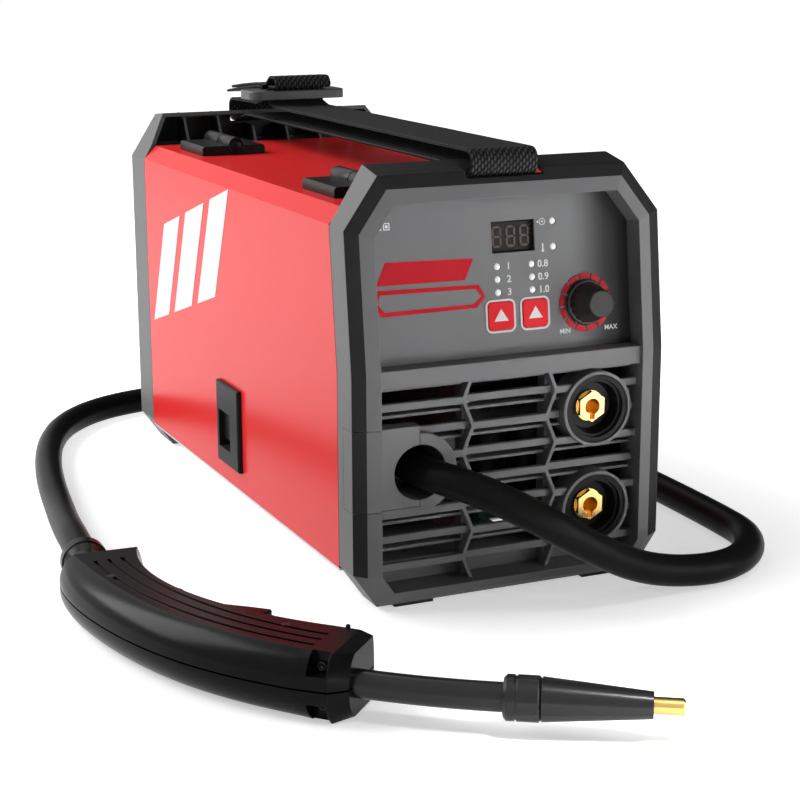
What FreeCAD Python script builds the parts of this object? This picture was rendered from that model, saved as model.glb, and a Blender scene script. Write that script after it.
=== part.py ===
import FreeCAD, Part
import math
import os

# A small inverter wire welder with its torch: the casing, the panel, the wire bay,
# the power side, the carrying strap, the torch lead and the torch that lies beside it.
# Millimetres. The origin is the middle of the casing's footprint on the floor,
# X to the right as seen from the front, Y to the back, Z up.

V = FreeCAD.Vector
os.makedirs("parts", exist_ok=True)

# Casing
body_length = 397.5
body_width = 188.0
front_top = 233.2
front_top_back = 239.4
rear_top = 237.0
rear_top_back = 234.0
foot_height = 2.0
kink_height = 130.0
front_lean = 6.6
front_depth = 19.2
rear_depth = 30.4
upper_corner_width = 20.4
upper_corner_start = 206.0
upper_corner_rise = 2.7
rear_corner_width = 18.0
lower_corner_width = 13.6
lower_corner_height = 19.5
frame_wall = 2.8
rear_wall = 2.7

# Front frame rim
bevel_width = 7.2
bevel_forward = 3.0
rim_width = 15.0
rim_forward = 5.0
rim_bottom = 8.0
bevel_bottom = 3.0
recess_wall = 2.6
recess_wall_depth = 17.0

# Sheet metal body
sheet = 1.2
body_bottom = 18.5
body_top = 215.0
body_corner = 8.5
seam_gap = 0.25
door_gap, door_top_gap = 0.6, 3.3
spigot_wall = 2.2
spigot_reach = 9.0
tray_sheet = 1.5
tray_flange = 14.0

# Control panel, in the leaning frame
panel_depth = 8.0
panel_thick = 2.0
panel_bottom = 133.0
display_x, display_z = 7.8, 196.7
display_width, display_height = 26.0, 17.0
lamp_radius = 1.9
lamp_proud = 0.5
status_lamps = [(32.3, 203.5), (32.3, 189.6)]
mode_lamp_x, size_lamp_x = -2.3, 18.7
lamp_rows = [180.9, 173.9, 166.9]
button_size = 15.4
button_corner = 2.6
button_proud = 1.0
button_travel = 0.8
button_z = 154.2
mode_button_x, size_button_x = -1.8, 19.2
knob_x, knob_z = 50.7, 157.6
knob_skirt_radius = 11.4
knob_cap_radius = 7.6
knob_reach = 18.4
knob_flutes = 18
dial_inner, dial_outer = 12.9, 16.2
dial_marks = 13
board_gap = 9.0
board_thick = 1.6

# Grille and its fittings
grille_front = 1.5
bar_thick = 4.0
mesh_depth = 3.2
back_bar_depth = 3.0
row_pitch = 14.75
row_zero = 96.3
wave_outer, wave_inner = 28.4, 22.3
wave_thick = 2.1
slat_thick = 1.6
slat_drop = 6.5
slat_front, slat_back = 8.0, 16.0
shelf_bottom, shelf_top = 122.0, 131.8
socket_x = 53.5
socket_heights = [98.0, 40.8]
socket_ring = 21.2
socket_ring_wall = 1.8
insert_radius = 8.8
insert_bore = 4.6
insert_bore_depth = 22.0
outlet_x, outlet_z = -55.5, 75.0
outlet_radius = 15.2
outlet_plate = 21.5
outlet_proud = 2.0
outlet_tube = 26.0
cover_split_low, cover_split_high = 56.0, 101.0
fit_gap = 0.3

# Door, hinges and latch
hinge_x, hinge_z = -54.0, 221.0
hinge_starts = [-136.5, 91.0]
hinge_length = 48.0
leaf_thick = 6.0
door_leaf_reach, fixed_leaf_reach = 23.0, 20.0
barrel_overrun = 3.0
barrel_radius = 3.9
pin_radius = 1.6
pin_gap = 0.06
latch_y = -3.0
latch_z = 58.0
latch_length, latch_height, latch_proud = 39.5, 52.0, 3.0
latch_pocket_length, latch_pocket_height = 21.0, 24.0
latch_pocket_y, latch_pocket_z = 2.0, 54.0

# Wire bay
divider_x = -10.0
spool_radius, spool_width, spool_bore = 50.0, 45.0, 8.2
spindle_gap = 0.08
spool_x, spool_y, spool_z = -55.5, 52.0, 92.0
spool_core = 26.0
wire_radius = 45.0
feed_y = -78.0
drive_radius, press_radius, roll_width = 15.0, 11.0, 9.0
arm_pivot_offset = 30.0
arm_thick = 8.0
motor_radius, motor_length = 20.0, 62.0

# Fan and rear panel
fan_size, fan_depth, fan_x, fan_z = 80.0, 25.0, 40.0, 104.0
fan_blades = 7
rear_panel_inset = 3.0
rear_panel_thick = 2.5
rear_ribs = [-61.0, -36.6, -12.2, 12.2, 36.6, 61.0]
switch_x, switch_z = -48.0, 150.0
inlet_x, inlet_z = -48.0, 92.0
inlet_radius = 5.2

# Strap
strap_width = 40.0
strap_thick = 1.8
strap_low, strap_high = 229.6, 242.6
slider_y = 128.0
slider_length, slider_depth, slider_thick = 68.0, 28.0, 6.0
slider_slot, slider_slot_width = 6.0, 6.4
slider_z = 247.5

# Torch lead and torch
cable_radius = 9.0
lead_start = 33.0
torch_z = 17.0
torch_centre = V(25.3, -148.15, torch_z)
torch_radius = 243.0
handle_start, handle_end = 180.0, 227.0
neck_radius = 6.9
nozzle_radius, nozzle_tip_radius = 10.4, 6.3
nozzle_base_radius, nozzle_base_length = 10.7, 17.5
nozzle_length = 50.0
tip_radius, tip_reach, tip_bore = 4.0, 14.0, 0.6
handle_wall = 2.4
trigger_width = 12.0
switch_half_height = 8.0

half_width = body_width / 2
front_y = -body_length / 2
rear_y = body_length / 2
lean = math.radians(front_lean)
grille_y = front_y + grille_front


# Basic solids

def box(x0, x1, y0, y1, z0, z1):
    return Part.makeBox(x1 - x0, y1 - y0, z1 - z0, V(x0, y0, z0))


def rod(start, direction, radius, length):
    return Part.makeCylinder(radius, length, start, direction)


def rod_x(x0, x1, y, z, radius):
    return rod(V(x0, y, z), V(1, 0, 0), radius, x1 - x0)


def rod_y(y0, y1, x, z, radius):
    return rod(V(x, y0, z), V(0, 1, 0), radius, y1 - y0)


def rod_z(z0, z1, x, y, radius):
    return rod(V(x, y, z0), V(0, 0, 1), radius, z1 - z0)


def wire_of(points):
    return Part.makePolygon(list(points) + [points[0]])


def prism_y(outline, y0, y1):
    face = Part.Face(wire_of([V(x, y0, z) for x, z in outline]))
    return face.extrude(V(0, y1 - y0, 0))


def prism_x(outline, x0, x1):
    face = Part.Face(wire_of([V(x0, y, z) for y, z in outline]))
    return face.extrude(V(x1 - x0, 0, 0))


def prism_z(outline, z0, z1):
    face = Part.Face(wire_of([V(x, y, z0) for x, y in outline]))
    return face.extrude(V(0, 0, z1 - z0))


def loft_y(outline_a, ya, outline_b, yb):
    wires = [wire_of([V(x, y, z) for x, z in o]) for o, y in ((outline_a, ya), (outline_b, yb))]
    return Part.makeLoft(wires, True, True)


def joined(shapes):
    result = shapes[0].multiFuse(shapes[1:]) if len(shapes) > 1 else shapes[0]
    return result.removeSplitter()


def rounded_box(x0, x1, y0, y1, z0, z1, radius):
    block = box(x0, x1, y0, y1, z0, z1)
    edges = [e for e in block.Edges if abs(e.tangentAt(e.FirstParameter).y) > 0.9]
    return block.makeFillet(radius, edges)


def inset(outline, distances):
    """Move each side of a closed outline, listed counter-clockwise, inwards by its distance."""
    count = len(outline)
    lines = []
    for i, (x0, z0) in enumerate(outline):
        x1, z1 = outline[(i + 1) % count]
        length = math.hypot(x1 - x0, z1 - z0)
        nx, nz = -(z1 - z0) / length, (x1 - x0) / length
        lines.append((nx, nz, nx * x0 + nz * z0 + distances[i]))
    corners = []
    for i in range(count):
        a, b = lines[i - 1], lines[i]
        det = a[0] * b[1] - a[1] * b[0]
        corners.append(((a[2] * b[1] - a[1] * b[2]) / det, (a[0] * b[2] - a[2] * b[0]) / det))
    return corners


# Frame outlines, from the lower left corner counter-clockwise

def frame_outline(top, corner_start, corner_width):
    w, c = half_width, lower_corner_width
    low = foot_height + lower_corner_height
    return [(-w + c, foot_height), (w - c, foot_height), (w, low), (w, corner_start),
            (w - corner_width, top), (-w + corner_width, top), (-w, corner_start), (-w, low)]


def frame_inset(outline, side, bottom):
    corner = (side + bottom) / 2
    return inset(outline, [bottom, corner, side, side, side, side, side, corner])


front_outline = frame_outline(front_top, upper_corner_start, upper_corner_width)
front_outline_back = frame_outline(front_top_back, upper_corner_start + upper_corner_rise,
                                   upper_corner_width)
rear_outline = frame_outline(rear_top, upper_corner_start, rear_corner_width)
rear_outline_back = frame_outline(rear_top_back, upper_corner_start, rear_corner_width)
bevel_outline = frame_inset(front_outline, bevel_width, bevel_bottom)
recess_outline = frame_inset(front_outline, rim_width, rim_bottom)
recess_outer = frame_inset(front_outline, rim_width - recess_wall, rim_bottom - recess_wall)


# The front is bent: its upper half leans back about a line across the front

def tilt(shape):
    leaning = shape.copy()
    leaning.rotate(V(0, front_y, kink_height), V(1, 0, 0), -front_lean)
    return leaning


def mitre_side(sign):
    slope = sign * math.tan(lean / 2)
    reach = 320.0
    outline = [(front_y - reach, kink_height - reach * slope),
               (front_y + reach, kink_height + reach * slope)]
    if sign < 0:
        outline += [(front_y + reach, -reach), (front_y - reach, -reach)]
    else:
        outline += [(front_y + reach, 3 * reach), (front_y - reach, 3 * reach)]
    return prism_x(outline, -2 * half_width, 2 * half_width)


lower_side = mitre_side(-1)
upper_side = mitre_side(1)


def bent(shape):
    return joined([shape.common(lower_side), tilt(shape.common(upper_side))])


def behind_front(depth):
    """All space behind the bent front surface, at a depth from it."""
    y0 = front_y + depth
    bend_z = kink_height - depth * math.tan(lean / 2)
    top_z = 2 * front_top
    return prism_x([(y0, -50), (y0, bend_z), (y0 + (top_z - bend_z) * math.tan(lean), top_z),
                    (2 * rear_y, top_z), (2 * rear_y, -50)], -body_width, body_width)


# Front frame, moulded in one piece with the grille

def frame_blank():
    rim = loft_y(front_outline, front_y, bevel_outline, front_y - bevel_forward)
    strip = loft_y(bevel_outline, front_y - bevel_forward, recess_outline, front_y - rim_forward)
    front = joined([rim, strip])
    lower = prism_y(front_outline, front_y, front_y + front_depth)
    upper = loft_y(front_outline, front_y, front_outline_back, front_y + front_depth)
    hollow_start = front_y + 0.4
    inner = frame_inset(front_outline, frame_wall, frame_wall)
    inner_back = frame_inset(front_outline_back, frame_wall, frame_wall)
    lower_hollow = prism_y(inner, hollow_start, front_y + front_depth + 1)
    upper_hollow = loft_y(inner, hollow_start, inner_back, front_y + front_depth + 1)
    keep = prism_y(recess_outer, front_y - 1, front_y + recess_wall_depth)
    lower_half = joined([front, lower]).cut(lower_hollow.cut(keep)).common(lower_side)
    upper_half = joined([front, upper]).cut(upper_hollow.cut(keep)).common(upper_side)
    tunnel = prism_y(recess_outline, front_y - 20, front_y + front_depth + 10)
    lower_half = lower_half.cut(tunnel)
    upper_half = upper_half.cut(tunnel)
    seat = prism_y(frame_inset(recess_outline, -0.5, -0.5), front_y + panel_depth + panel_thick,
                   front_y + panel_depth + panel_thick + 2.2)
    seat = seat.cut(prism_y(frame_inset(recess_outline, 4.5, 4.5), front_y, front_y + 40))
    seat = seat.common(upper_side)
    return joined([lower_half, tilt(joined([upper_half, seat]))])


def frame_spigot():
    """The tongue behind the frame that the sheet metal slides over."""
    outer = inset(body_outline(), [sheet + fit_gap] * 6)
    inner = inset(body_outline(), [sheet + fit_gap + spigot_wall] * 6)
    back = front_y + front_depth + spigot_reach + 12
    ring = prism_y(outer, front_y, back).cut(prism_y(inner, front_y - 1, back + 1))
    ring = ring.common(behind_front(recess_wall_depth - 4))
    ring = ring.cut(behind_front(front_depth + spigot_reach))
    web = prism_y(frame_inset(front_outline, frame_wall + 0.5, frame_wall + 0.5),
                  front_y + recess_wall_depth - 3, front_y + recess_wall_depth)
    opening = inset(front_outline, [20, 17, 15, 18, 26, 18, 15, 17])
    web = web.cut(prism_y(opening, front_y, front_y + 40))
    strap_way = box(-strap_width / 2 - 3, strap_width / 2 + 3, front_y, front_y + 60,
                    body_top + 9, front_top_back)
    return [ring, bent(web).cut(strap_way)]


def body_outline():
    w, c = half_width, body_corner
    return [(-w, body_bottom), (w, body_bottom), (w, body_top - c), (w - c, body_top),
            (-w + c, body_top), (-w, body_top - c)]


def row_height(row):
    return row_zero + row * row_pitch


def wave_x(row):
    return wave_outer if row % 2 else wave_inner


def grille():
    """Bars and two zigzag uprights in front, slats behind, rings round the sockets."""
    edge = half_width - rim_width + 0.6
    pieces = []
    front, mesh_back = grille_y, grille_y + mesh_depth
    bar_back = mesh_back + back_bar_depth
    for row in range(-5, 2):
        z = row_height(row)
        z0, z1 = z - bar_thick / 2, z + bar_thick / 2
        x = wave_x(row)
        outer_first = row % 2 == 1
        outer = (front, mesh_back) if outer_first else (mesh_back, bar_back)
        middle = (mesh_back, bar_back) if outer_first else (front, mesh_back)
        pieces.append(box(-edge, -x, outer[0], outer[1], z0, z1))
        pieces.append(box(x, edge, outer[0], outer[1], z0, z1))
        pieces.append(box(-x, x, middle[0], middle[1], z0, z1))
    half = wave_thick / 2
    for row in range(-6, 2):
        z0, z1 = max(row_height(row), foot_height + rim_bottom - 0.5), row_height(row + 1)
        share = (z0 - row_height(row)) / row_pitch
        xa = wave_x(row) + share * (wave_x(row + 1) - wave_x(row))
        xb = wave_x(row + 1)
        for side in (-1, 1):
            outline = [(side * xa - half, z0), (side * xa + half, z0),
                       (side * xb + half, z1), (side * xb - half, z1)]
            pieces.append(prism_y(outline, front, bar_back))
    slat_inner = half_width - rim_width + 0.6
    for row in range(-4, 3):
        z = row_height(row) - slat_drop
        pieces.append(box(-slat_inner, slat_inner, front_y + slat_front, front_y + slat_back,
                          z - slat_thick / 2, z + slat_thick / 2))
    for side in (-1, 1):
        x = side * (wave_outer + wave_inner) / 2
        pieces.append(box(x - 1, x + 1, bar_back - 0.2, front_y + slat_back,
                          foot_height + rim_bottom - 0.5, shelf_bottom + 0.5))
    mesh = joined(pieces)
    for z in socket_heights:
        mesh = mesh.cut(rod_y(front_y - 5, front_y + 30, socket_x, z, socket_ring - 0.2))
    rings = []
    for z in socket_heights:
        ring = rod_y(front_y - 0.5, front_y + slat_back, socket_x, z, socket_ring)
        ring = ring.cut(rod_y(front_y - 5, front_y + 30, socket_x, z,
                              socket_ring - socket_ring_wall))
        rings.append(ring)
    return joined([mesh] + rings)


def outlet_solid(x0, x1, z0, z1, y0, y1, gap=0.0):
    """The plate round the cable outlet, with its round right end and the tube behind it."""
    plate = box(x0, outlet_x, y0, y1, z0, z1)
    disc = rod_y(y0, y1, outlet_x, outlet_z, outlet_plate)
    disc = disc.common(box(x0, x1, y0, y1, z0, z1))
    return joined([plate, disc]) if x1 > outlet_x else plate


def front_bezel():
    edge = half_width - rim_width + 0.8
    shelf = box(-edge, edge, front_y - 2, front_y + recess_wall_depth, shelf_bottom, shelf_top)
    back_lip = box(-edge, edge, front_y + panel_depth + panel_thick + 2,
                   front_y + recess_wall_depth, shelf_top - 1, panel_bottom + 4)
    body = joined([frame_blank(), grille(), shelf, back_lip] + frame_spigot())
    plate_front, plate_back = front_y - outlet_proud, grille_y + mesh_depth + 3
    plate_low, plate_high = outlet_z - outlet_plate, outlet_z + outlet_plate
    plate = outlet_solid(-edge, edge, plate_low, plate_high, plate_front, plate_back)
    tube = rod_y(plate_front, front_y + outlet_tube, outlet_x, outlet_z, outlet_radius + 2.0)
    body = joined([body.cut(rod_y(front_y, front_y + 40, outlet_x, outlet_z, outlet_radius + 1)),
                   plate, tube])
    body = body.cut(rod_y(front_y - 10, front_y + 60, outlet_x, outlet_z, outlet_radius))
    body = body.cut(cover_space(0.0))
    for z in socket_heights:
        body = body.cut(rod_y(front_y + 5, front_y + 60, socket_x, z,
                              socket_ring - socket_ring_wall))
    slot = box(-strap_width / 2 - 3, strap_width / 2 + 3, front_y - 1.5, front_y + 7.0,
               front_top - 12, front_top + 8)
    slot = slot.cut(prism_y(recess_outer, front_y - 30, front_y + 60))
    body = body.cut(tilt(slot))
    return body


def cover_space(gap):
    """The block that the removable half of the outlet takes out of the frame."""
    z0, z1 = cover_split_low + gap, cover_split_high - gap
    x1 = outlet_x - gap
    y0 = front_y - rim_forward - 2
    y1 = front_y + 12.0 - gap
    return box(-half_width - 2, x1, y0, y1, z0, z1)


def cable_cover():
    edge = half_width - rim_width + 0.8
    rim = frame_blank()
    plate_front, plate_back = front_y - outlet_proud, grille_y + mesh_depth + 3
    plate = box(-edge, outlet_x, plate_front, plate_back, cover_split_low, cover_split_high)
    tube = rod_y(plate_front, front_y + 12, outlet_x, outlet_z, outlet_radius + 2.0)
    solid = joined([rim.common(cover_space(seam_gap)),
                    plate.common(cover_space(seam_gap)), tube.common(cover_space(seam_gap))])
    ribs = [box(-half_width + 1.5, -edge + 1, front_y + 0.2, front_y + 11.5, z - 1, z + 1)
            for z in (cover_split_low + 6, cover_split_high - 6)]
    solid = joined([solid] + ribs)
    return solid.cut(rod_y(front_y - 10, front_y + 40, outlet_x, outlet_z, outlet_radius))


def cable_gland():
    y0, y1 = front_y + outlet_tube - 5, front_y + lead_start
    bush = rod_y(y0, y1, outlet_x, outlet_z, outlet_radius - fit_gap)
    collar = rod_y(front_y + outlet_tube, y1, outlet_x, outlet_z, outlet_radius + 3)
    return joined([bush, collar]).cut(rod_y(y0 - 1, y1 + 1, outlet_x, outlet_z,
                                            cable_radius + fit_gap))


# Control panel, drawn upright and then leaned back with the frame

def control_panel():
    outline = frame_inset(recess_outline, fit_gap, fit_gap)
    y0, y1 = front_y + panel_depth, front_y + panel_depth + panel_thick
    plate = prism_y(outline, y0, y1)
    plate = plate.common(box(-half_width, half_width, y0, y1, panel_bottom, front_top))
    window = box(display_x - display_width / 2, display_x + display_width / 2, y0 - 1, y1 + 1,
                 display_z - display_height / 2, display_z + display_height / 2)
    holes = [window]
    for x, z in lamp_places():
        holes.append(rod_y(y0 - 1, y1 + 1, x, z, lamp_radius + 0.1))
    for x in (mode_button_x, size_button_x):
        half = button_size / 2 + 0.25
        holes.append(rounded_box(x - half, x + half, y0 - 1, y1 + 1, button_z - half,
                                 button_z + half, button_corner))
    holes.append(rod_y(y0 - 1, y1 + 1, knob_x, knob_z, 4.2))
    for hole in holes:
        plate = plate.cut(hole)
    frames = []
    for x in (mode_button_x, size_button_x):
        half = button_size / 2 + 0.25
        rim = half + 1.1
        frame = rounded_box(x - rim, x + rim, y0 - 0.5, y0 + 0.1, button_z - rim, button_z + rim,
                            button_corner + 1.1)
        opening = rounded_box(x - half, x + half, y0 - 1, y0 + 1, button_z - half,
                              button_z + half, button_corner)
        frames.append(frame.cut(opening))
    return tilt(joined([plate] + frames + dial_marking(y0)))


def dial_marking(y0):
    """Short raised arcs round the knob."""
    ring = rod_y(y0 - 0.4, y0 + 0.1, knob_x, knob_z, dial_outer)
    ring = ring.cut(rod_y(y0 - 1, y0 + 1, knob_x, knob_z, dial_inner))
    gap = 1.1
    step = 360.0 / dial_marks
    for i in range(dial_marks):
        bar = box(knob_x, knob_x + dial_outer + 2, y0 - 1, y0 + 1, knob_z - gap / 2,
                  knob_z + gap / 2)
        bar.rotate(V(knob_x, 0, knob_z), V(0, 1, 0), 90 + step * i)
        ring = ring.cut(bar)
    return [ring]


def lamp_places():
    rows = [(x, z) for x in (mode_lamp_x, size_lamp_x) for z in lamp_rows]
    return status_lamps + rows


def display_window():
    y0 = front_y + panel_depth + 0.2
    half_w, half_h = display_width / 2 - 0.15, display_height / 2 - 0.15
    pane = box(display_x - half_w, display_x + half_w, y0, y0 + panel_thick,
               display_z - half_h, display_z + half_h)
    rim = box(display_x - half_w - 1.5, display_x + half_w + 1.5, y0 + panel_thick,
              y0 + panel_thick + 1, display_z - half_h - 1.5, display_z + half_h + 1.5)
    return tilt(joined([pane, rim]))


def segment(x, z, length, upright, y0, y1):
    half, tip = 0.55, 0.55
    reach = length / 2
    flat = [(-reach, 0), (-reach + tip, -half), (reach - tip, -half), (reach, 0),
            (reach - tip, half), (-reach + tip, half)]
    if upright:
        flat = [(b, a) for a, b in flat]
    return prism_y([(x + a, z + b) for a, b in flat], y0, y1)


def display_module():
    """A three-digit display with raised segments, on the board behind the window."""
    y0 = front_y + panel_depth + panel_thick + 1.3
    y1 = board_front()
    half_w, half_h = display_width / 2 + 0.5, display_height / 2 - 0.8
    block = box(display_x - half_w, display_x + half_w, y0 + 0.4, y1,
                display_z - half_h, display_z + half_h)
    pieces = [block]
    digit_pitch, digit_half, digit_height = 8.4, 2.3, 5.2
    for i in range(3):
        x = display_x + (i - 1) * digit_pitch
        for row in (-1, 0, 1):
            pieces.append(segment(x, display_z + row * digit_height, 2 * digit_half - 0.5, False,
                                  y0, y0 + 0.6))
        for side in (-1, 1):
            for row in (-0.5, 0.5):
                pieces.append(segment(x + side * digit_half, display_z + row * digit_height,
                                      digit_height - 0.5, True, y0, y0 + 0.6))
    return tilt(joined(pieces))


def board_front():
    return front_y + panel_depth + panel_thick + board_gap


def indicator_leds():
    """Eight lamps in one group, each a dome on a straight body that stands on the board."""
    lamps = []
    tip = front_y + panel_depth - lamp_proud
    for x, z in lamp_places():
        body = rod_y(tip + lamp_radius, board_front(), x, z, lamp_radius)
        dome = Part.makeSphere(lamp_radius, V(x, tip + lamp_radius, z))
        foot = rod_y(board_front() - 1, board_front(), x, z, lamp_radius + 0.4)
        lamps.append(tilt(joined([body, dome, foot])))
    return Part.makeCompound(lamps)


def push_button(x):
    half = button_size / 2
    y0 = front_y + panel_depth - button_proud
    y1 = front_y + panel_depth + panel_thick
    cap = rounded_box(x - half, x + half, y0, y1, button_z - half, button_z + half,
                      button_corner)
    front_edges = [e for e in cap.Edges if abs(e.BoundBox.YMax - y0) < 0.01]
    cap = cap.makeFillet(0.4, front_edges)
    skirt = rounded_box(x - half - 0.9, x + half + 0.9, y1 + button_travel * 0.2,
                        y1 + 1.2, button_z - half - 0.9, button_z + half + 0.9, button_corner)
    stem = rod_y(y1 - 0.5, board_front() - 3.7 - button_travel, x, button_z, 3.0)
    neck = rounded_box(x - half + 1, x + half - 1, y1 - 0.1, y1 + 0.5, button_z - half + 1,
                       button_z + half - 1, button_corner)
    return tilt(joined([cap, neck, skirt, stem]))


def control_knob():
    """A fluted skirt that tapers to a smooth cap, with a pointer on the cap's right side."""
    back = front_y + panel_depth - 0.6
    front = front_y + panel_depth - knob_reach
    middle = back - 7.0
    profile = [(0, back), (knob_skirt_radius, back), (knob_skirt_radius, back - 1.6),
               (knob_skirt_radius - 1.0, middle), (knob_cap_radius + 0.6, front + 3.2),
               (knob_cap_radius, front + 0.6), (knob_cap_radius - 0.6, front), (0, front)]
    face = Part.Face(wire_of([V(knob_x + r, y, knob_z) for r, y in profile]))
    body = face.revolve(V(knob_x, 0, knob_z), V(0, 1, 0), 360)
    flute_radius = 1.3
    for i in range(knob_flutes):
        angle = 2 * math.pi * i / knob_flutes
        r = knob_skirt_radius + 0.35
        flute = rod_y(front + 3.4, back - 1.6, knob_x + r * math.cos(angle),
                      knob_z + r * math.sin(angle), flute_radius)
        body = body.cut(flute)
    pointer = prism_y([(knob_x + knob_cap_radius - 1.2, knob_z - 1.2),
                       (knob_x + knob_cap_radius + 2.2, knob_z),
                       (knob_x + knob_cap_radius - 1.2, knob_z + 1.2)], front + 0.4, front + 2.4)
    shaft_hole = rod_y(back - 9.0, back + 1, knob_x, knob_z, 3.0 + pin_gap)
    return tilt(joined([body, pointer]).cut(shaft_hole))


def potentiometer():
    back = front_y + panel_depth - 0.6
    shaft = rod_y(back - 8.6, board_front(), knob_x, knob_z, 3.0)
    bush = rod_y(back + 1.2, board_front(), knob_x, knob_z, 3.9)
    nut = prism_y([(knob_x + 6.2 * math.cos(math.radians(60 * i)),
                    knob_z + 6.2 * math.sin(math.radians(60 * i))) for i in range(6)],
                  front_y + panel_depth + panel_thick, front_y + panel_depth + panel_thick + 2.2)
    can = rod_y(board_front() - 4.5, board_front(), knob_x, knob_z, 8.5)
    return tilt(joined([shaft, bush, nut, can]))


def control_board():
    """The circuit board behind the panel with its two small switches and a plug."""
    y0 = board_front()
    board = box(-30, 72, y0, y0 + board_thick, 138, 214)
    parts = [board]
    for x in (mode_button_x, size_button_x):
        parts.append(box(x - 3, x + 3, y0 - 3.5, y0, button_z - 3, button_z + 3))
    parts.append(box(-24, -12, y0 + board_thick, y0 + board_thick + 9, 150, 172))
    parts.append(box(20, 34, y0 + board_thick, y0 + board_thick + 3, 160, 174))
    posts = []
    seat_back = front_y + panel_depth + panel_thick + 2.2
    for x in (-26, 68):
        for z in (143, 203):
            posts.append(rod_y(seat_back - 2.2, y0, x, z, 2.6))
    return tilt(joined(parts + posts))


# Welding sockets

def socket_body(z):
    """Insulated socket body: a flange in the grille's ring, stepped rings and a deep mouth."""
    radius = socket_ring - socket_ring_wall - fit_gap
    front = front_y + 0.5
    body = rod_y(front, front + 30, socket_x, z, radius)
    body = body.cut(rod_y(front - 1, front + 2.0, socket_x, z, radius - 2.6))
    mouth = Part.makeCone(radius - 4.2, radius - 6.0, 7.0, V(socket_x, front + 1.9, z),
                          V(0, 1, 0))
    body = body.cut(mouth)
    body = body.cut(rod_y(front + 8.0, front + 31, socket_x, z, insert_radius + 0.1))
    rear = rod_y(front + 18, front + 31, socket_x, z, radius + 5)
    rear = rear.cut(rod_y(front + 17, front + 32, socket_x, z, radius - 4))
    return body.cut(rear)


def contact(z):
    """Brass insert: a hexagon with a round bore in front and a threaded stud behind."""
    front = front_y + 5.2
    points = [(socket_x + insert_radius * math.sin(math.radians(60 * i)),
               z + insert_radius * math.cos(math.radians(60 * i))) for i in range(6)]
    hexagon = prism_y(points, front, front + 3.4)
    barrel = rod_y(front + 3.2, front + 24, socket_x, z, insert_radius - 0.1)
    stud = rod_y(front + 24, front + 40, socket_x, z, 5.0)
    solid = joined([hexagon, barrel, stud])
    solid = solid.cut(rod_y(front - 1, front + insert_bore_depth, socket_x, z, insert_bore))
    key = box(socket_x - 1.6, socket_x + 1.6, front - 1, front + 6, z - 7.2, z)
    return solid.cut(key)


# Sheet metal body

def sheet_ring(y0, y1):
    outer = prism_y(body_outline(), y0, y1)
    inner = prism_y(inset(body_outline(), [sheet] * 6), y0 - 1, y1 + 1)
    return outer.cut(inner)


def body_back():
    return rear_y - rear_depth


def clear_of_frames(shape):
    return shape.common(behind_front(front_depth + seam_gap))


def main_cover():
    """Fixed sheet: right side, corner and most of the top, with louvres near the fan."""
    y1 = body_back() - seam_gap
    ring = clear_of_frames(sheet_ring(front_y, y1))
    ring = ring.common(box(hinge_x + seam_gap / 2, body_width, front_y, rear_y,
                           body_bottom + sheet, body_top + 1))
    for i in range(7):
        y = y1 - 40 - 11 * i
        ring = ring.cut(box(half_width - 3, half_width + 3, y, y + 4, 60, 120))
    return ring


def side_door():
    """Left side, corner and a strip of the top in one folded sheet, with a stiffening fold."""
    y1 = body_back() - seam_gap
    ring = sheet_ring(front_y, y1).common(behind_front(front_depth + door_gap))
    swing = prism_y([(-half_width + body_corner + 1, body_top - 6), (0, body_top - 6),
                     (0, body_top + 6), (-half_width + body_corner + 1, body_top + 6)],
                    front_y, 0)
    ring = ring.cut(swing.cut(behind_front(front_depth + door_top_gap)))
    door = ring.common(box(-body_width, hinge_x - seam_gap / 2, front_y, rear_y,
                           body_bottom + sheet, body_top + 1))
    spigot_end = front_y + front_depth + spigot_reach + 2
    lip = box(-half_width + sheet - 0.1, -half_width + 7, spigot_end + 2, y1 - 16,
              body_bottom + tray_flange + 1.2, body_bottom + tray_flange + 1.2 + sheet)
    door = joined([door, lip])
    pocket = box(-half_width - 5, -half_width + 5, latch_y - latch_length / 2 + 3,
                 latch_y + latch_length / 2 - 3, latch_z - latch_height / 2 + 3,
                 latch_z + latch_height / 2 - 3)
    return door.cut(pocket)


def base_tray():
    """Bottom sheet with turned-up sides, bolted to both end frames."""
    y0, y1 = front_y + front_depth + seam_gap, body_back() - seam_gap
    w = half_width - sheet - fit_gap
    floor = box(-half_width, half_width, y0, y1, body_bottom, body_bottom + sheet)
    inner_y0 = y0 + spigot_reach + 1
    inner_y1 = y1 - 16
    tray = [floor]
    for side in (-1, 1):
        x0, x1 = sorted((side * w, side * (w - tray_sheet)))
        tray.append(box(x0, x1, inner_y0, inner_y1, body_bottom, body_bottom + tray_flange))
    solid = joined(tray)
    for i in range(9):
        y = inner_y0 + 30 + 26 * i
        solid = solid.cut(box(20, 70, y, y + 6, body_bottom - 1, body_bottom + sheet + 1))
    return solid


def divider_plate():
    y0 = front_y + front_depth + spigot_reach + 4
    y1 = body_back() - 18
    z0, z1 = body_bottom + sheet, body_top - sheet - 4
    plate = box(divider_x - tray_sheet, divider_x, y0, y1, z0, z1)
    plate = plate.common(behind_front(front_depth + spigot_reach + 4))
    foot = box(divider_x - tray_sheet, divider_x + 12, y0, y1, z0, z0 + tray_sheet)
    top = box(divider_x - tray_sheet, divider_x + 12, y0 + 14, y1, z1 - tray_sheet, z1)
    rest = box(divider_x + 5, divider_x + 11, y0 + 30, y1, z1 - 0.1, body_top - sheet)
    solid = joined([plate, foot, top, rest])
    return solid.cut(rod_x(divider_x - 5, divider_x + 5, feed_y, drive_height(), 9.0))


# Rear frame and what it carries

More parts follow.
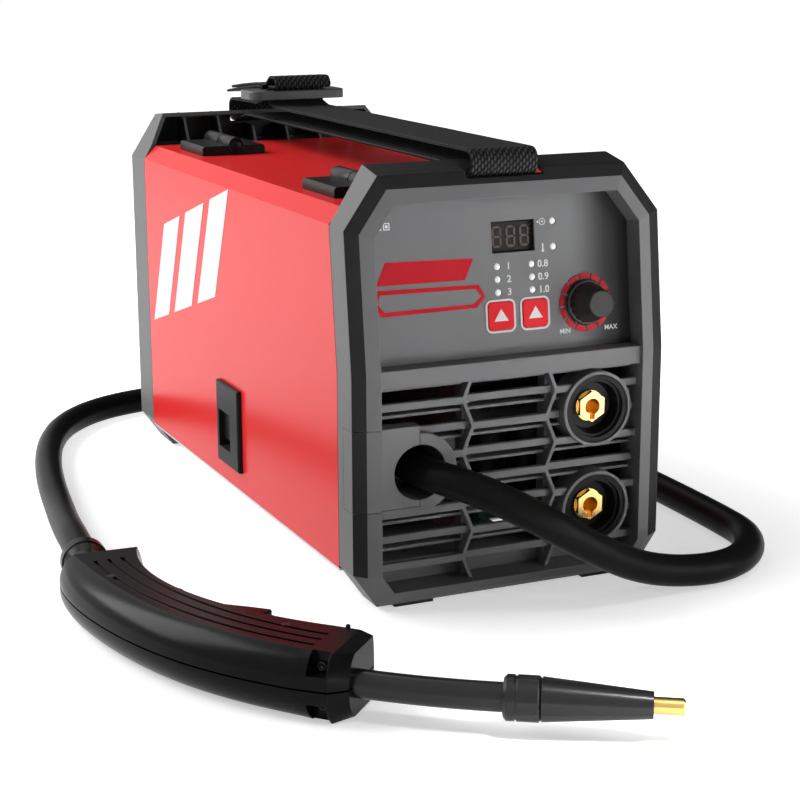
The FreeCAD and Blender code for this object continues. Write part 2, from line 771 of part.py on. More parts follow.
def rear_bezel():
    """Hollow rear frame: sloped top, recessed vented panel and upright ribs."""
    y0, y1 = body_back(), rear_y
    blank = loft_y(rear_outline, y0, rear_outline_back, y1)
    inner_a = frame_inset(rear_outline, rear_wall, rear_wall)
    inner_b = frame_inset(rear_outline_back, rear_wall, rear_wall)
    hollow = loft_y(inner_a, y0 - 0.01, inner_b, y1 + 0.01)
    shell = blank.cut(hollow)
    panel_y1 = y1 - rear_panel_inset
    panel_y0 = panel_y1 - rear_panel_thick
    panel = prism_y(frame_inset(rear_outline_back, 1.0, 1.0), panel_y0, panel_y1)
    corner = 6.0
    fan_hole = fan_size / 2 - 3
    for radius in (10.0, 19.0, 28.0, fan_hole):
        ring = rod_y(panel_y0 - 1, panel_y1 + 1, fan_x, fan_z, radius)
        ring = ring.cut(rod_y(panel_y0 - 1, panel_y1 + 1, fan_x, fan_z, radius - corner))
        for turn in (0, 90):
            spoke = box(fan_x - 45, fan_x + 45, panel_y0 - 2, panel_y1 + 2, fan_z - 1.6,
                        fan_z + 1.6)
            spoke.rotate(V(fan_x, 0, fan_z), V(0, 1, 0), 45 + turn)
            ring = ring.cut(spoke)
        panel = panel.cut(ring)
    for i in range(4):
        z = 168 + 9 * i
        panel = panel.cut(box(8, 72, panel_y0 - 1, panel_y1 + 1, z, z + 4))
    pieces = [shell, panel]
    rib_top = rear_top - rear_wall + 0.5
    for x in rear_ribs:
        top = rib_top if abs(x) > strap_width / 2 + 1 else strap_low - 4
        pieces.append(prism_x([(y0 + 0.3, body_top - 22), (y0 + 0.3, body_top),
                               (y0 + 0.3 + (top - body_top) * 0.6, top),
                               (panel_y0 + 0.5, top), (panel_y0 + 0.5, body_top - 22)],
                              x - 0.8, x + 0.8))
    solid = joined(pieces)
    trim = prism_x([(y0 - 5, body_top + 1), (y0 + 0.3, body_top + 1),
                    (y0 + 0.3 + 30 * 0.6, body_top + 31), (y0 - 5, body_top + 31)],
                   -body_width, body_width)
    solid = solid.cut(trim)
    outer = inset(body_outline(), [sheet + fit_gap] * 6)
    inner = inset(body_outline(), [sheet + fit_gap + spigot_wall] * 6)
    spigot = prism_y(outer, y0 - spigot_reach, panel_y0 + 0.5)
    spigot = spigot.cut(prism_y(inner, y0 - spigot_reach - 1, panel_y0 + 1))
    solid = joined([solid, spigot])
    slot = box(-strap_width / 2 - 2.5, strap_width / 2 + 2.5, panel_y0 - 1, y1 + 2,
               strap_low - 2.4, strap_low + 2.8)
    solid = solid.cut(slot)
    rocker_hole = box(switch_x - 9.5, switch_x + 9.5, panel_y0 - 1, panel_y1 + 1, switch_z - 13,
                      switch_z + 13)
    gland_hole = rod_y(panel_y0 - 1, panel_y1 + 1, inlet_x, inlet_z, 8.2)
    return solid.cut(rocker_hole).cut(gland_hole)


def rear_panel_face():
    return rear_y - rear_panel_inset


def fan_frame():
    y1 = rear_panel_face() - rear_panel_thick
    y0 = y1 - fan_depth
    half = fan_size / 2
    frame = rounded_box(fan_x - half, fan_x + half, y0, y1, fan_z - half, fan_z + half, 4.0)
    frame = frame.cut(rod_y(y0 - 1, y1 + 1, fan_x, fan_z, half - 2))
    hub = rod_y(y0, y0 + 4, fan_x, fan_z, 15.0)
    arms = []
    for turn in (45, 135):
        arm = box(fan_x - half + 1, fan_x + half - 1, y0, y0 + 3, fan_z - 2, fan_z + 2)
        arm.rotate(V(fan_x, 0, fan_z), V(0, 1, 0), turn)
        arms.append(arm)
    axle = rod_y(y0 + 3, y0 + 18, fan_x, fan_z, 1.5)
    solid = joined([frame, hub, axle] + arms)
    for sx in (-1, 1):
        for sz in (-1, 1):
            solid = solid.cut(rod_y(y0 - 1, y1 + 1, fan_x + sx * (half - 4.3),
                                    fan_z + sz * (half - 4.3), 2.1))
    return solid


def fan_rotor():
    """Hub with twisted blades, each a short ruled loft from root to tip."""
    y1 = rear_panel_face() - rear_panel_thick
    y0 = y1 - fan_depth + 4.6
    hub = rod_y(y0, y0 + 17, fan_x, fan_z, 15.0)
    hub = hub.cut(rod_y(y0 - 1, y0 + 3, fan_x, fan_z, 13.5))
    blades = []
    tip = fan_size / 2 - 3.0
    for i in range(fan_blades):
        sections = []
        for radius, twist in ((14.0, 48.0), (tip, 28.0)):
            chord = 0.62 * radius if radius > 20 else 12.0
            rise = min(13.0, chord * math.tan(math.radians(twist)))
            corners = [(-chord / 2, 2.0), (-chord / 2, 3.4), (chord / 2, 3.4 + rise * 0.8),
                       (chord / 2, 2.0 + rise * 0.8)]
            sections.append(wire_of([V(fan_x + c, y0 + h, fan_z + radius) for c, h in corners]))
        blade = Part.makeLoft(sections, True, True)
        blade.rotate(V(fan_x, 0, fan_z), V(0, 1, 0), 360.0 * i / fan_blades)
        blades.append(blade)
    solid = joined([hub] + blades)
    limit = rod_y(y0 - 5, y0 + 30, fan_x, fan_z, tip + 0.2)
    return solid.common(limit).cut(rod_y(y0 - 5, y0 + 30, fan_x, fan_z, 1.5 + pin_gap))


def switch_housing():
    face = rear_panel_face()
    flange = rounded_box(switch_x - 11, switch_x + 11, face, face + 1.5, switch_z - 15,
                         switch_z + 15, 2.0)
    body = box(switch_x - 9.2, switch_x + 9.2, face - 20, face + 0.1, switch_z - 12.7,
               switch_z + 12.7)
    cavity = box(switch_x - 7.6, switch_x + 7.6, face - 9, face + 2, switch_z - 11.6,
                 switch_z + 11.6)
    terminals = [box(switch_x - 2.4, switch_x + 2.4, face - 27, face - 19.5, switch_z + z - 0.4,
                     switch_z + z + 0.4) for z in (-7, 0, 7)]
    solid = joined([flange, body]).cut(cavity)
    hole = rod_x(switch_x - 8.6, switch_x + 8.6, face - 2.0, switch_z, 1.2)
    return joined([solid.cut(hole)] + terminals)


def power_rocker():
    """Rocker with two pads that meet at a ridge, on stub pins at its middle."""
    face = rear_panel_face()
    pivot = face - 2.0
    reach = 10.4
    angle = math.radians(9.0)
    tip = reach * math.cos(angle)
    outline = [(pivot - 4.5, switch_z - 5), (pivot + 4.2, switch_z - tip),
               (pivot + 2.6, switch_z), (pivot + 1.0, switch_z + tip), (pivot - 4.5, switch_z + 5)]
    body = prism_x(outline, switch_x - 7.2, switch_x + 7.2)
    pin = rod_x(switch_x - 8.5, switch_x + 8.5, pivot, switch_z, 1.2 - pin_gap)
    return joined([body, pin])


def power_gland():
    face = rear_panel_face()
    panel_back = face - rear_panel_thick
    thread = rod_y(panel_back - 9, face + 2, inlet_x, inlet_z, 8.0)
    points = [(inlet_x + 11 * math.cos(math.radians(60 * i)),
               inlet_z + 11 * math.sin(math.radians(60 * i))) for i in range(6)]
    nut = prism_y(points, panel_back - 5, panel_back)
    shoulder = prism_y(points, face, face + 5)
    dome = Part.makeCone(10.0, 7.4, 9, V(inlet_x, face + 5, inlet_z), V(0, 1, 0))
    solid = joined([thread, nut, shoulder, dome])
    return solid.cut(rod_y(panel_back - 20, face + 30, inlet_x, inlet_z, inlet_radius))


# Hinges and latch

def knuckle(y0, y1, radius):
    return rod_y(y0, y1, hinge_x, hinge_z, radius)


def leaf(y0, side):
    """One hinge leaf: a thick plate with a sloped inner edge and a knuckle over half of it."""
    y1 = y0 + hinge_length
    middle = (y0 + y1) / 2
    near = 1.0
    reach = fixed_leaf_reach if side > 0 else door_leaf_reach
    x0, x1 = hinge_x + side * near, hinge_x + side * reach
    top = body_top + leaf_thick
    outline = [(x0, body_top), (x1, body_top), (x1, top - 1.2), (x1 - side * 1.2, top), (x0, top)]
    plate = prism_y(outline, y0, y1)
    halves = [(y0, middle), (middle, y1 + barrel_overrun)]
    own, other = halves if side < 0 else reversed(halves)
    gap = 0.2
    barrel = knuckle(own[0] + gap / 2, own[1] - gap / 2, barrel_radius)
    foot = box(min(hinge_x - 0.1, x0), max(hinge_x + 0.1, x0), own[0] + gap / 2,
               own[1] - gap / 2, body_top + 1.5, hinge_z)
    clearance = rod_y(other[0] - gap / 2, other[1] + gap / 2, hinge_x, hinge_z,
                      barrel_radius + 0.35)
    plate = plate.cut(clearance)
    relief = knuckle(y0 - 1, y1 + 1 + barrel_overrun, barrel_radius - 0.5)
    solid = joined([plate.cut(relief), barrel, foot])
    bore = pin_radius + (pin_gap if side < 0 else 0.0)
    return solid.cut(knuckle(y0 - 1, y1 + 1 + barrel_overrun, bore))


def fixed_leaves():
    return Part.makeCompound([leaf(y, 1) for y in hinge_starts])


def door_leaves():
    return Part.makeCompound([leaf(y, -1) for y in hinge_starts])


def hinge_pins():
    pins = []
    for y in hinge_starts:
        y1 = y + hinge_length + barrel_overrun - 0.1
        pin = knuckle(y + 0.2, y1 + 0.1, pin_radius)
        head = knuckle(y1, y1 + 1.2, pin_radius + 1.2)
        pins.append(joined([pin, head]))
    return Part.makeCompound(pins)


def latch_plate():
    """Escutcheon on the door with a finger pocket and a keeper behind the sheet."""
    x0 = -half_width - latch_proud
    y0, y1 = latch_y - latch_length / 2, latch_y + latch_length / 2
    z0, z1 = latch_z - latch_height / 2, latch_z + latch_height / 2
    plate = box(x0, -half_width, y0, y1, z0, z1)
    outer_edges = [e for e in plate.Edges if abs(e.BoundBox.XMax - x0) < 0.01]
    plate = plate.makeChamfer(0.8, outer_edges)
    inner = box(-half_width - 0.1, -half_width + 9, y0 + 3.4, y1 - 3.4, z0 + 3.4, z1 - 3.4)
    solid = joined([plate, inner])
    return solid.cut(latch_pocket(0.0))


def latch_pocket(shrink):
    half_l = latch_pocket_length / 2 - shrink
    half_h = latch_pocket_height / 2 - shrink
    return box(-half_width - latch_proud - 1, -half_width + 6.5, latch_pocket_y - half_l,
               latch_pocket_y + half_l, latch_pocket_z - half_h, latch_pocket_z + half_h)


def latch_hinge():
    return (-half_width + 1.2, latch_pocket_z + latch_pocket_height / 2 - 2.2)


def latch_paddle():
    """Flap in the pocket, hinged near its top edge, with a finger lip at the bottom."""
    x, z = latch_hinge()
    half_l = latch_pocket_length / 2 - 0.4
    z0 = latch_pocket_z - latch_pocket_height / 2 + 5.0
    flap = box(x - 1.1, x + 1.1, latch_pocket_y - half_l, latch_pocket_y + half_l, z0, z)
    lip = box(x - 1.1, x + 3.2, latch_pocket_y - half_l + 2, latch_pocket_y + half_l - 2, z0,
              z0 + 1.6)
    barrel = rod_y(latch_pocket_y - half_l, latch_pocket_y + half_l, x, z, 1.5)
    pin = rod_y(latch_pocket_y - half_l - 1.6, latch_pocket_y + half_l + 1.6, x, z, 0.8)
    return joined([flap, lip, barrel, pin])


def with_latch_sockets(plate):
    x, z = latch_hinge()
    half_l = latch_pocket_length / 2 + 1.4
    return plate.cut(rod_y(latch_pocket_y - half_l, latch_pocket_y + half_l, x, z,
                           0.8 + pin_gap))


def foot_pads():
    pads = []
    for side in (-1, 1):
        for y in (front_y + 0.8, rear_y - 14.0):
            x = side * 58.0
            pads.append(box(x - 11.5, x + 11.5, y, y + 13, 0, foot_height))
    return Part.makeCompound(pads)


# Wire bay

def drive_height():
    return outlet_z - drive_radius - 0.6


def press_height():
    return outlet_z + press_radius + 0.6


def wire_spool():
    """Flanged plastic spool with a webbed side and a hub bore."""
    half = spool_width / 2
    core = rod_x(spool_x - half, spool_x + half, spool_y, spool_z, spool_core)
    flanges = [rod_x(x, x + 3.0, spool_y, spool_z, spool_radius)
               for x in (spool_x - half, spool_x + half - 3.0)]
    solid = joined([core] + flanges)
    solid = solid.cut(rod_x(spool_x - half - 1, spool_x + half + 1, spool_y, spool_z,
                            spool_core - 3))
    hub = rod_x(spool_x - half, spool_x + half, spool_y, spool_z, spool_bore + 3)
    ribs = []
    for i in range(6):
        rib = box(spool_x - half, spool_x + half, spool_y + spool_bore + 1,
                  spool_y + spool_core - 1, spool_z - 1, spool_z + 1)
        rib.rotate(V(0, spool_y, spool_z), V(1, 0, 0), 60 * i)
        ribs.append(rib)
    solid = joined([solid, hub] + ribs)
    for i in range(6):
        angle = math.radians(60 * i + 30)
        r = (spool_radius + spool_core) / 2
        solid = solid.cut(rod_x(spool_x - half - 1, spool_x + half + 1,
                                spool_y + r * math.cos(angle), spool_z + r * math.sin(angle), 5))
    return solid.cut(rod_x(spool_x - half - 1, spool_x + half + 1, spool_y, spool_z, spool_bore))


def welding_wire():
    half = spool_width / 2 - 3.2
    pack = rod_x(spool_x - half, spool_x + half, spool_y, spool_z, wire_radius)
    return pack.cut(rod_x(spool_x - half - 1, spool_x + half + 1, spool_y, spool_z,
                          spool_core + 0.2))


def spool_spindle():
    half = spool_width / 2
    shaft = rod_x(spool_x - half - 7, divider_x - tray_sheet, spool_y, spool_z,
                  spool_bore - spindle_gap)
    flange = rod_x(spool_x + half + 0.4, divider_x - tray_sheet, spool_y, spool_z, 20.0)
    return joined([shaft, flange])


def spool_nut():
    half = spool_width / 2
    x1 = spool_x - half - 0.4
    body = rod_x(x1 - 7, x1, spool_y, spool_z, 16.0)
    wings = box(x1 - 13, x1 - 6, spool_y - 3, spool_y + 3, spool_z - 15, spool_z + 15)
    solid = joined([body, wings])
    return solid.cut(rod_x(x1 - 7.4, x1 + 1, spool_y, spool_z, spool_bore - spindle_gap))


def feed_motor():
    """Gear motor on the power side of the divider, its shaft through to the drive roll."""
    y, z = feed_y, drive_height()
    gearbox = rounded_box_x(divider_x, divider_x + 24, y - 22, y + 22, z - 22, z + 30, 5.0)
    can = rod_x(divider_x + 24, divider_x + 24 + motor_length, y, z + 8, motor_radius)
    cap = rod_x(divider_x + 24 + motor_length, divider_x + 28 + motor_length, y, z + 8, 9.0)
    shaft = rod_x(outlet_x - roll_width / 2 - 4, divider_x + 1, y, z, 4.0)
    return joined([gearbox, can, cap, shaft])


def rounded_box_x(x0, x1, y0, y1, z0, z1, radius):
    block = box(x0, x1, y0, y1, z0, z1)
    edges = [e for e in block.Edges if abs(e.tangentAt(e.FirstParameter).x) > 0.9]
    return block.makeFillet(radius, edges)


def feed_body():
    """Cast carrier of the feed rolls, with wire guides in line with the outlet."""
    x1 = divider_x - tray_sheet
    inner = outlet_x + roll_width / 2 + 3.5
    z_low, z_high = drive_height() - 24, outlet_z - 4
    block = box(inner, x1, feed_y - 40, feed_y + 34, z_low, z_high)
    block = block.cut(rod_x(inner - 1, x1 + 1, feed_y, drive_height(), 6.0))
    reach = outlet_x - 7
    front_arm = box(reach, inner + 0.1, feed_y - 40, feed_y - 22, outlet_z - 18, z_high)
    back_arm = box(reach, inner + 0.1, feed_y + 20, feed_y + 34, outlet_z - 18, z_high)
    guides = []
    for y0, y1 in ((feed_y - 46, feed_y - 6), (feed_y + 6, feed_y + 44)):
        guides.append(rod_y(y0, y1, outlet_x, outlet_z, 3.4))
    posts = [box(outlet_x - 7, outlet_x + 7, y0, y1, outlet_z - 8, outlet_z + rise)
             for y0, y1, rise in ((feed_y - 40, feed_y - 22, 4), (feed_y + 20, feed_y + 34, 6))]
    pivot_y = feed_y - arm_pivot_offset
    ear = box(outlet_x + 7.6, inner + 4, pivot_y - 6, pivot_y + 6, z_high - 1,
              press_height() + 6)
    pin = rod_x(outlet_x - 7, inner + 3, pivot_y, press_height(), 2.5)
    solid = joined([block, front_arm, back_arm, ear, pin] + guides + posts)
    solid = solid.cut(rod_y(feed_y - 60, feed_y + 60, outlet_x, outlet_z, 1.2))
    for radius, z in ((drive_radius, drive_height()), (press_radius, press_height())):
        solid = solid.cut(rod_x(outlet_x - roll_width / 2 - 1, outlet_x + roll_width / 2 + 1,
                                feed_y, z, radius + 0.8))
    return solid


def grooved_roll(radius, z, bore):
    x0, x1 = outlet_x - roll_width / 2, outlet_x + roll_width / 2
    roll = rod_x(x0, x1, feed_y, z, radius)
    groove = rod_x(outlet_x - 0.6, outlet_x + 0.6, feed_y, z, radius + 1)
    groove = groove.cut(rod_x(outlet_x - 1, outlet_x + 1, feed_y, z, radius - 0.8))
    return roll.cut(groove).cut(rod_x(x0 - 1, x1 + 1, feed_y, z, bore))


def drive_roll():
    return grooved_roll(drive_radius, drive_height(), 4.0 + pin_gap)


def pressure_roll():
    return grooved_roll(press_radius, press_height(), 2.5 + pin_gap)


def arm_end_y():
    return feed_y + 27.0


def pressure_arm():
    """Lever over the wire: it pivots at the outlet side and carries the pressure roll."""
    pivot_y = feed_y - arm_pivot_offset
    z = press_height()
    outline = [(pivot_y - 5, z - 5), (pivot_y + 8, z - 5), (feed_y - 8, z + 2),
               (arm_end_y() - 8, z + 2), (arm_end_y() - 8, z - 4), (arm_end_y() + 8, z - 4),
               (arm_end_y() + 8, z + 8), (arm_end_y() - 8, z + 8), (feed_y + 5, z + 16),
               (feed_y - 5, z + 16), (pivot_y, z + 8), (pivot_y - 5, z + 4)]
    arm = prism_x(outline, outlet_x - 7, outlet_x + 7)
    slot = box(outlet_x - roll_width / 2 - 0.5, outlet_x + roll_width / 2 + 0.5,
               feed_y - press_radius - 1, feed_y + press_radius + 1, z - 20,
               z + press_radius + 1.0)
    arm = arm.cut(slot)
    lugs = [box(outlet_x - 7, outlet_x - 5.2, feed_y - 5, feed_y + 5, z - 4, z + 8),
            box(outlet_x + 5.2, outlet_x + 7, feed_y - 5, feed_y + 5, z - 4, z + 8)]
    arm = joined([arm] + lugs)
    pin = rod_x(outlet_x - 6.9, outlet_x + 6.9, feed_y, z, 2.5)
    arm = joined([arm, pin])
    arm = arm.cut(rod_x(outlet_x - 8, outlet_x + 8, pivot_y, z, 2.5 + pin_gap))
    return arm.cut(rod_z(z - 10, z + 20, outlet_x, arm_end_y(), 2.4 + spindle_gap))


def tension_screw():
    """Thumb screw through the arm's free end, with its spring sleeve and grooved knob."""
    z = press_height()
    x, y = outlet_x, arm_end_y()
    shaft = rod_z(outlet_z + 6.4, z + 24, x, y, 2.4)
    spring = rod_z(z + 8.3, z + 18, x, y, 4.2)
    knob = rod_z(z + 18, z + 36, x, y, 8.5)
    for i in range(10):
        angle = 2 * math.pi * i / 10
        knob = knob.cut(rod_z(z + 19, z + 37, x + 9.4 * math.cos(angle),
                              y + 9.4 * math.sin(angle), 1.6))
    return joined([shaft, spring, knob])


def torch_adapter():
    y0, y1 = front_y + lead_start, feed_y - 46
    tube = rod_y(y0, y1, outlet_x, outlet_z, 6.5)
    flange = rod_y(y0, y0 + 5, outlet_x, outlet_z, 12.0)
    hexagon = prism_y([(outlet_x + 9 * math.cos(math.radians(60 * i)),
                        outlet_z + 9 * math.sin(math.radians(60 * i))) for i in range(6)],
                      y1 - 10, y1)
    tube = joined([tube, flange, hexagon])
    return tube.cut(rod_y(y0 - 1, y1 + 1, outlet_x, outlet_z, 2.0))


# Power side

def power_board():
    x0, x1 = divider_x + 14, half_width - 14
    y0, y1 = front_y + 56, rear_y - 75
    z0 = body_bottom + sheet + 8
    board = box(x0, x1, y0, y1, z0, z0 + 2.0)
    posts = [rod_z(body_bottom + sheet, z0, x, y, 3.0) for x in (x0 + 6, x1 - 6)
             for y in (y0 + 8, y1 - 8)]
    return joined([board] + posts)


def heatsinks():
    """Two finned extrusions on the board, in one group."""
    z0 = body_bottom + sheet + 10.0
    sinks = []
    y0, y1 = front_y + 205, rear_y - 80
    for x0, step in ((half_width - 40, 1), (divider_x + 38, -1)):
        base = box(x0, x0 + step * 5, y0, y1, z0, z0 + 74) if step > 0 else \
            box(x0 - 5, x0, y0, y1, z0, z0 + 74)
        fins = []
        for i in range(8):
            z = z0 + 2 + i * 9.6
            xa, xb = sorted((x0 + step * 4.9, x0 + step * 22))
            fins.append(box(xa, xb, y0, y1, z, z + 2.0))
        sinks.append(joined([base] + fins))
    return Part.makeCompound(sinks)


def transformer():
    """Ferrite core with its winding former, standing on the board."""
    z0 = body_bottom + sheet + 10.0
    x, y = 44.0, front_y + 170
    core = box(x - 26, x + 26, y - 12, y + 12, z0, z0 + 52)
    windows = [box(x + a - 7, x + a + 7, y - 13, y + 13, z0 + 11, z0 + 41) for a in (-12, 12)]
    for window in windows:
        core = core.cut(window)
    coil = box(x - 18, x + 18, y - 20, y + 20, z0 + 12, z0 + 40)
    edges = [e for e in coil.Edges if abs(e.tangentAt(e.FirstParameter).z) > 0.9]
    coil = coil.makeFillet(7.0, edges)
    return joined([core, coil])


def capacitors():
    z0 = body_bottom + sheet + 10.0
    cans = []
    for i in range(3):
        x = 20 + 27 * i
        can = rod_z(z0, z0 + 44, x, front_y + 72, 12.5)
        can = can.makeChamfer(1.2, [e for e in can.Edges if e.BoundBox.ZMin > z0 + 43])
        cans.append(can)
    return Part.makeCompound(cans)


# Carrying strap

def rounded_wire(points, radii):
    """A closed wire in the YZ plane through points, each corner an arc of its own radius."""
    count = len(points)
    corners = []
    for i, (y, z) in enumerate(points):
        p = V(0, y, z)
        a = (V(0, *points[i - 1]) - p).normalize()
        b = (V(0, *points[(i + 1) % count]) - p).normalize()
        half = math.acos(max(-1.0, min(1.0, a.dot(b)))) / 2
        cut = radii[i] / math.tan(half)
        bisector = (a + b).normalize()
        middle = p + bisector * (radii[i] / math.sin(half) - radii[i])
        corners.append((p + a * cut, middle, p + b * cut))
    edges = []
    for i in range(count):
        start, middle, end = corners[i]
        edges.append(Part.Arc(start, middle, end).toShape())
        after = corners[(i + 1) % count][0]
        if (after - end).Length > 1e-6:
            edges.append(Part.LineSegment(end, after).toShape())
    return Part.Wire(edges)


def strap_route():
    """Middle line of the webbing: under the front wall, back, round the rear wall and home."""
    front, rear = front_y + 11.4, rear_y + 4.4
    near, far = slider_y - slider_slot, slider_y + slider_slot
    low, high = strap_low, strap_high
    bow = low + 4.0
    under = slider_z - 1.9
    above = slider_z + slider_thick
    points = [(front, high), (front, low), (front + 16, low), (front + 40, bow),
              (far + 34, bow), (rear - 14, low), (rear, low), (rear, high),
              (far + 12, high + 0.8), (far, under), (far, above + 3.0),
              (near + 3.5, above + 4.1), (near - 3.5, above + 8.9), (near - 11.5, above + 9.1),
              (near - 16.0, above + 2.8), (near, above + 2.2), (near, under),
              (near - 12, high + 0.2)]
    radii = [6.3, 6.3, 14, 20, 20, 14, 6.3, 6.3, 6, 1.6, 1.6, 6, 4, 4, 1.8, 1.6, 1.6, 8]
    return points, radii


def strap_webbing():
    """One closed loop of flat webbing with two loose tails behind the slider."""
    points, radii = strap_route()
    middle = rounded_wire(points, radii)
    outer = Part.Face(middle.makeOffset2D(strap_thick / 2))
    inner = Part.Face(middle.makeOffset2D(-strap_thick / 2))
    loop = outer.cut(inner).extrude(V(strap_width, 0, 0))
    loop.translate(V(-strap_width / 2, 0, 0))
    y, t = slider_y + slider_slot, strap_thick
    z = slider_z + slider_thick + 0.3
    tails = [[(y, z), (y + 12, z), (y + 72, z - 7.0), (y + 72, z - 7.0 + t), (y + 12, z + t),
              (y, z + t)],
             [(y, z + 1.7), (y + 12, z + 1.7), (y + 62, z - 3.4), (y + 62, z - 3.4 + t),
              (y + 12, z + 1.7 + t), (y, z + 1.7 + t)]]
    half = strap_width / 2
    return joined([loop] + [prism_x(tail, -half, half) for tail in tails])


def strap_slider():
    """Flat three-bar slider with rounded ends."""
    half_l, half_d = slider_length / 2, slider_depth / 2
    z0, z1 = slider_z, slider_z + slider_thick
    plate = box(-half_l, half_l, slider_y - half_d, slider_y + half_d, z0, z1)
    edges = [e for e in plate.Edges if abs(e.tangentAt(e.FirstParameter).z) > 0.9]
    plate = plate.makeFillet(7.0, edges)
    slot_half = strap_width / 2 + 2
    for side in (-1, 1):
        y = slider_y + side * slider_slot
        half = slider_slot_width / 2
        plate = plate.cut(box(-slot_half, slot_half, y - half, y + half, z0 - 1, z1 + 1))
    ends = [e for e in plate.Edges if abs(e.BoundBox.ZMin - z1) < 0.01
            and (abs(e.BoundBox.XMin) > slot_half + 1 or e.BoundBox.XLength > slider_length * 0.6)
            and (e.BoundBox.YMin > slider_y + half_d - 8 or e.BoundBox.YMax < slider_y - half_d + 8)]
    return plate.makeFillet(1.2, ends) if ends else plate


# Torch lead: straight runs joined by tangent arcs

def lead_route():
    """The lead's points from the outlet round the right side and the back to the torch."""
    shift = front_y
    points = [(outlet_x, lead_start, outlet_z), (outlet_x, -1.5, outlet_z), (-37.5, -31.5, 72.0),
              (-10.5, -50.0, 58.0), (22.0, -50.5, 37.0), (53.0, -44.5, 20.0),
              (83.0, -40.0, 11.0), (115.0, -39.5, 9.0), (142.9, -23.7, 9.0),
              (159.8, 3.0, 9.0), (162.8, 37.0, 9.0), (164.3, 83.0, 9.0),
              (165.0, 145.0, 9.0), (163.8, 220.0, 9.0), (158.0, 295.0, 9.0),
              (144.0, 362.0, 9.0), (115.0, 418.0, 9.0), (68.0, 458.0, 9.0),
              (8.0, 479.0, 9.0), (-55.0, 481.5, 9.0), (-107.0, 465.5, 9.0),
              (-143.0, 430.0, 9.0), (-165.0, 384.0, 9.0), (-180.0, 330.0, 9.0),
              (-190.5, 275.0, 9.0), (-198.0, 222.0, 9.2), (-205.5, 176.0, 13.0)]
    route = [V(x, y + shift, z) for x, y, z in points]
    end, axis = collar_end()
    return route + [end - axis * 34, end]


def rounded_path(points, label):
    """Edges of a path whose corners are arcs as large as both runs allow."""
    edges, radii = [], []
    start = points[0]
    for i in range(1, len(points) - 1):
        p = points[i]
        a, b = points[i - 1] - p, points[i + 1] - p
        run = min(a.Length, b.Length)
        a, b = a.normalize(), b.normalize()
        half = math.acos(max(-1.0, min(1.0, a.dot(b)))) / 2
        cut = 0.45 * run
        radius = cut * math.tan(half)
        radii.append(round(radius))
        bisector = (a + b).normalize()
        middle = p + bisector * (radius / math.sin(half) - radius)
        edges.append(Part.LineSegment(start, p + a * cut).toShape())
        edges.append(Part.Arc(p + a * cut, middle, p + b * cut).toShape())
        start = p + b * cut
    edges.append(Part.LineSegment(start, points[-1]).toShape())
    print(label, "corner radii", radii)
    return Part.Wire(edges)


def swept_rod(path, radius, label):
    first = path.Edges[0]
    start = first.valueAt(first.FirstParameter)
    direction = first.tangentAt(first.FirstParameter)
    circle = Part.Wire(Part.makeCircle(radius, start, direction))
    tube = path.makePipeShell([circle], True, False)
    expected = math.pi * radius ** 2 * path.Length
    print(label, "length", round(path.Length, 1), "volume share", round(tube.Volume / expected, 5))
    return tube


def torch_cable():
    return swept_rod(rounded_path(lead_route(), "lead"), cable_radius, "lead")


# Torch: it lies on its side, so its parting plane is level, and it curves about one centre

def at(angle, radius, z=0.0):
    a = math.radians(angle)
    return torch_centre + V(radius * math.cos(a), radius * math.sin(a), z)


def along(angle):
    a = math.radians(angle)
    return V(-math.sin(a), math.cos(a), 0)


collar_angle = 168.0
collar_tilt = 5.5
collar_length = 66.0
collar_radius = 10.8


def collar_end():
    return at(collar_angle, torch_radius + 2), along(collar_angle + collar_tilt)


def torch_collar():
    """Cable collar with a lip behind and a stem that the handle halves close on."""
    end, axis = collar_end()
    lip = rod(end, axis, 13.2, 9.0)
    lip = lip.makeFillet(1.5, [e for e in lip.Edges if e.Length > 50])
    throat = rod(end + axis * 8.5, axis, collar_radius, collar_length - 8.5)
    flare = Part.makeCone(12.4, collar_radius, 7.0, end + axis * 8.5, axis)
    return joined([lip, throat, flare])


def handle_section(angle, near, far, near_top, far_top, low, height):
    """Half outline of the handle across its length: near bulge, flat top, far side."""
    def p(radius, z):
        return at(angle, radius, z)
    near_mid = near - (near - near_top) * 0.22
    far_mid = far + (far_top - far) * 0.25
    edges = [
        Part.LineSegment(p(far, low), p(near, low)).toShape(),
        Part.Arc(p(near, low), p(near_mid, low + (height - low) * 0.6),
                 p(near_top, height)).toShape(),
        Part.LineSegment(p(near_top, height), p(far_top, height)).toShape(),
        Part.Arc(p(far_top, height), p(far_mid, low + (height - low) * 0.6),
                 p(far, low)).toShape(),
    ]
    return Part.Wire(edges)


handle_stations = [
    (177.5, 263.0, 217.5, 255.0, 220.5, 17.0),
    (183.5, 264.5, 221.5, 253.0, 226.0, 17.0),
    (190.0, 264.5, 223.5, 252.0, 228.5, 17.0),
    (200.0, 264.5, 223.0, 252.5, 228.0, 17.0),
    (210.0, 264.0, 221.0, 253.0, 225.0, 17.0),
    (220.5, 262.5, 218.5, 253.0, 221.5, 17.0),
]
nose_stations = [
    (220.5, 262.5, 218.5, 253.0, 221.5, 17.0),
    (224.2, 261.0, 220.0, 255.5, 221.5, 17.0),
    (226.0, 254.5, 222.0, 247.0, 223.0, 15.5),
]


def lofted(stations, wall, ruled):
    wires = []
    for angle, near, far, near_top, far_top, height in stations:
        wires.append(handle_section(angle, near - wall, far + wall, near_top - wall * 0.7,
                                    far_top + wall * 0.7, 0.1, height - wall))
    return Part.makeLoft(wires, True, ruled)


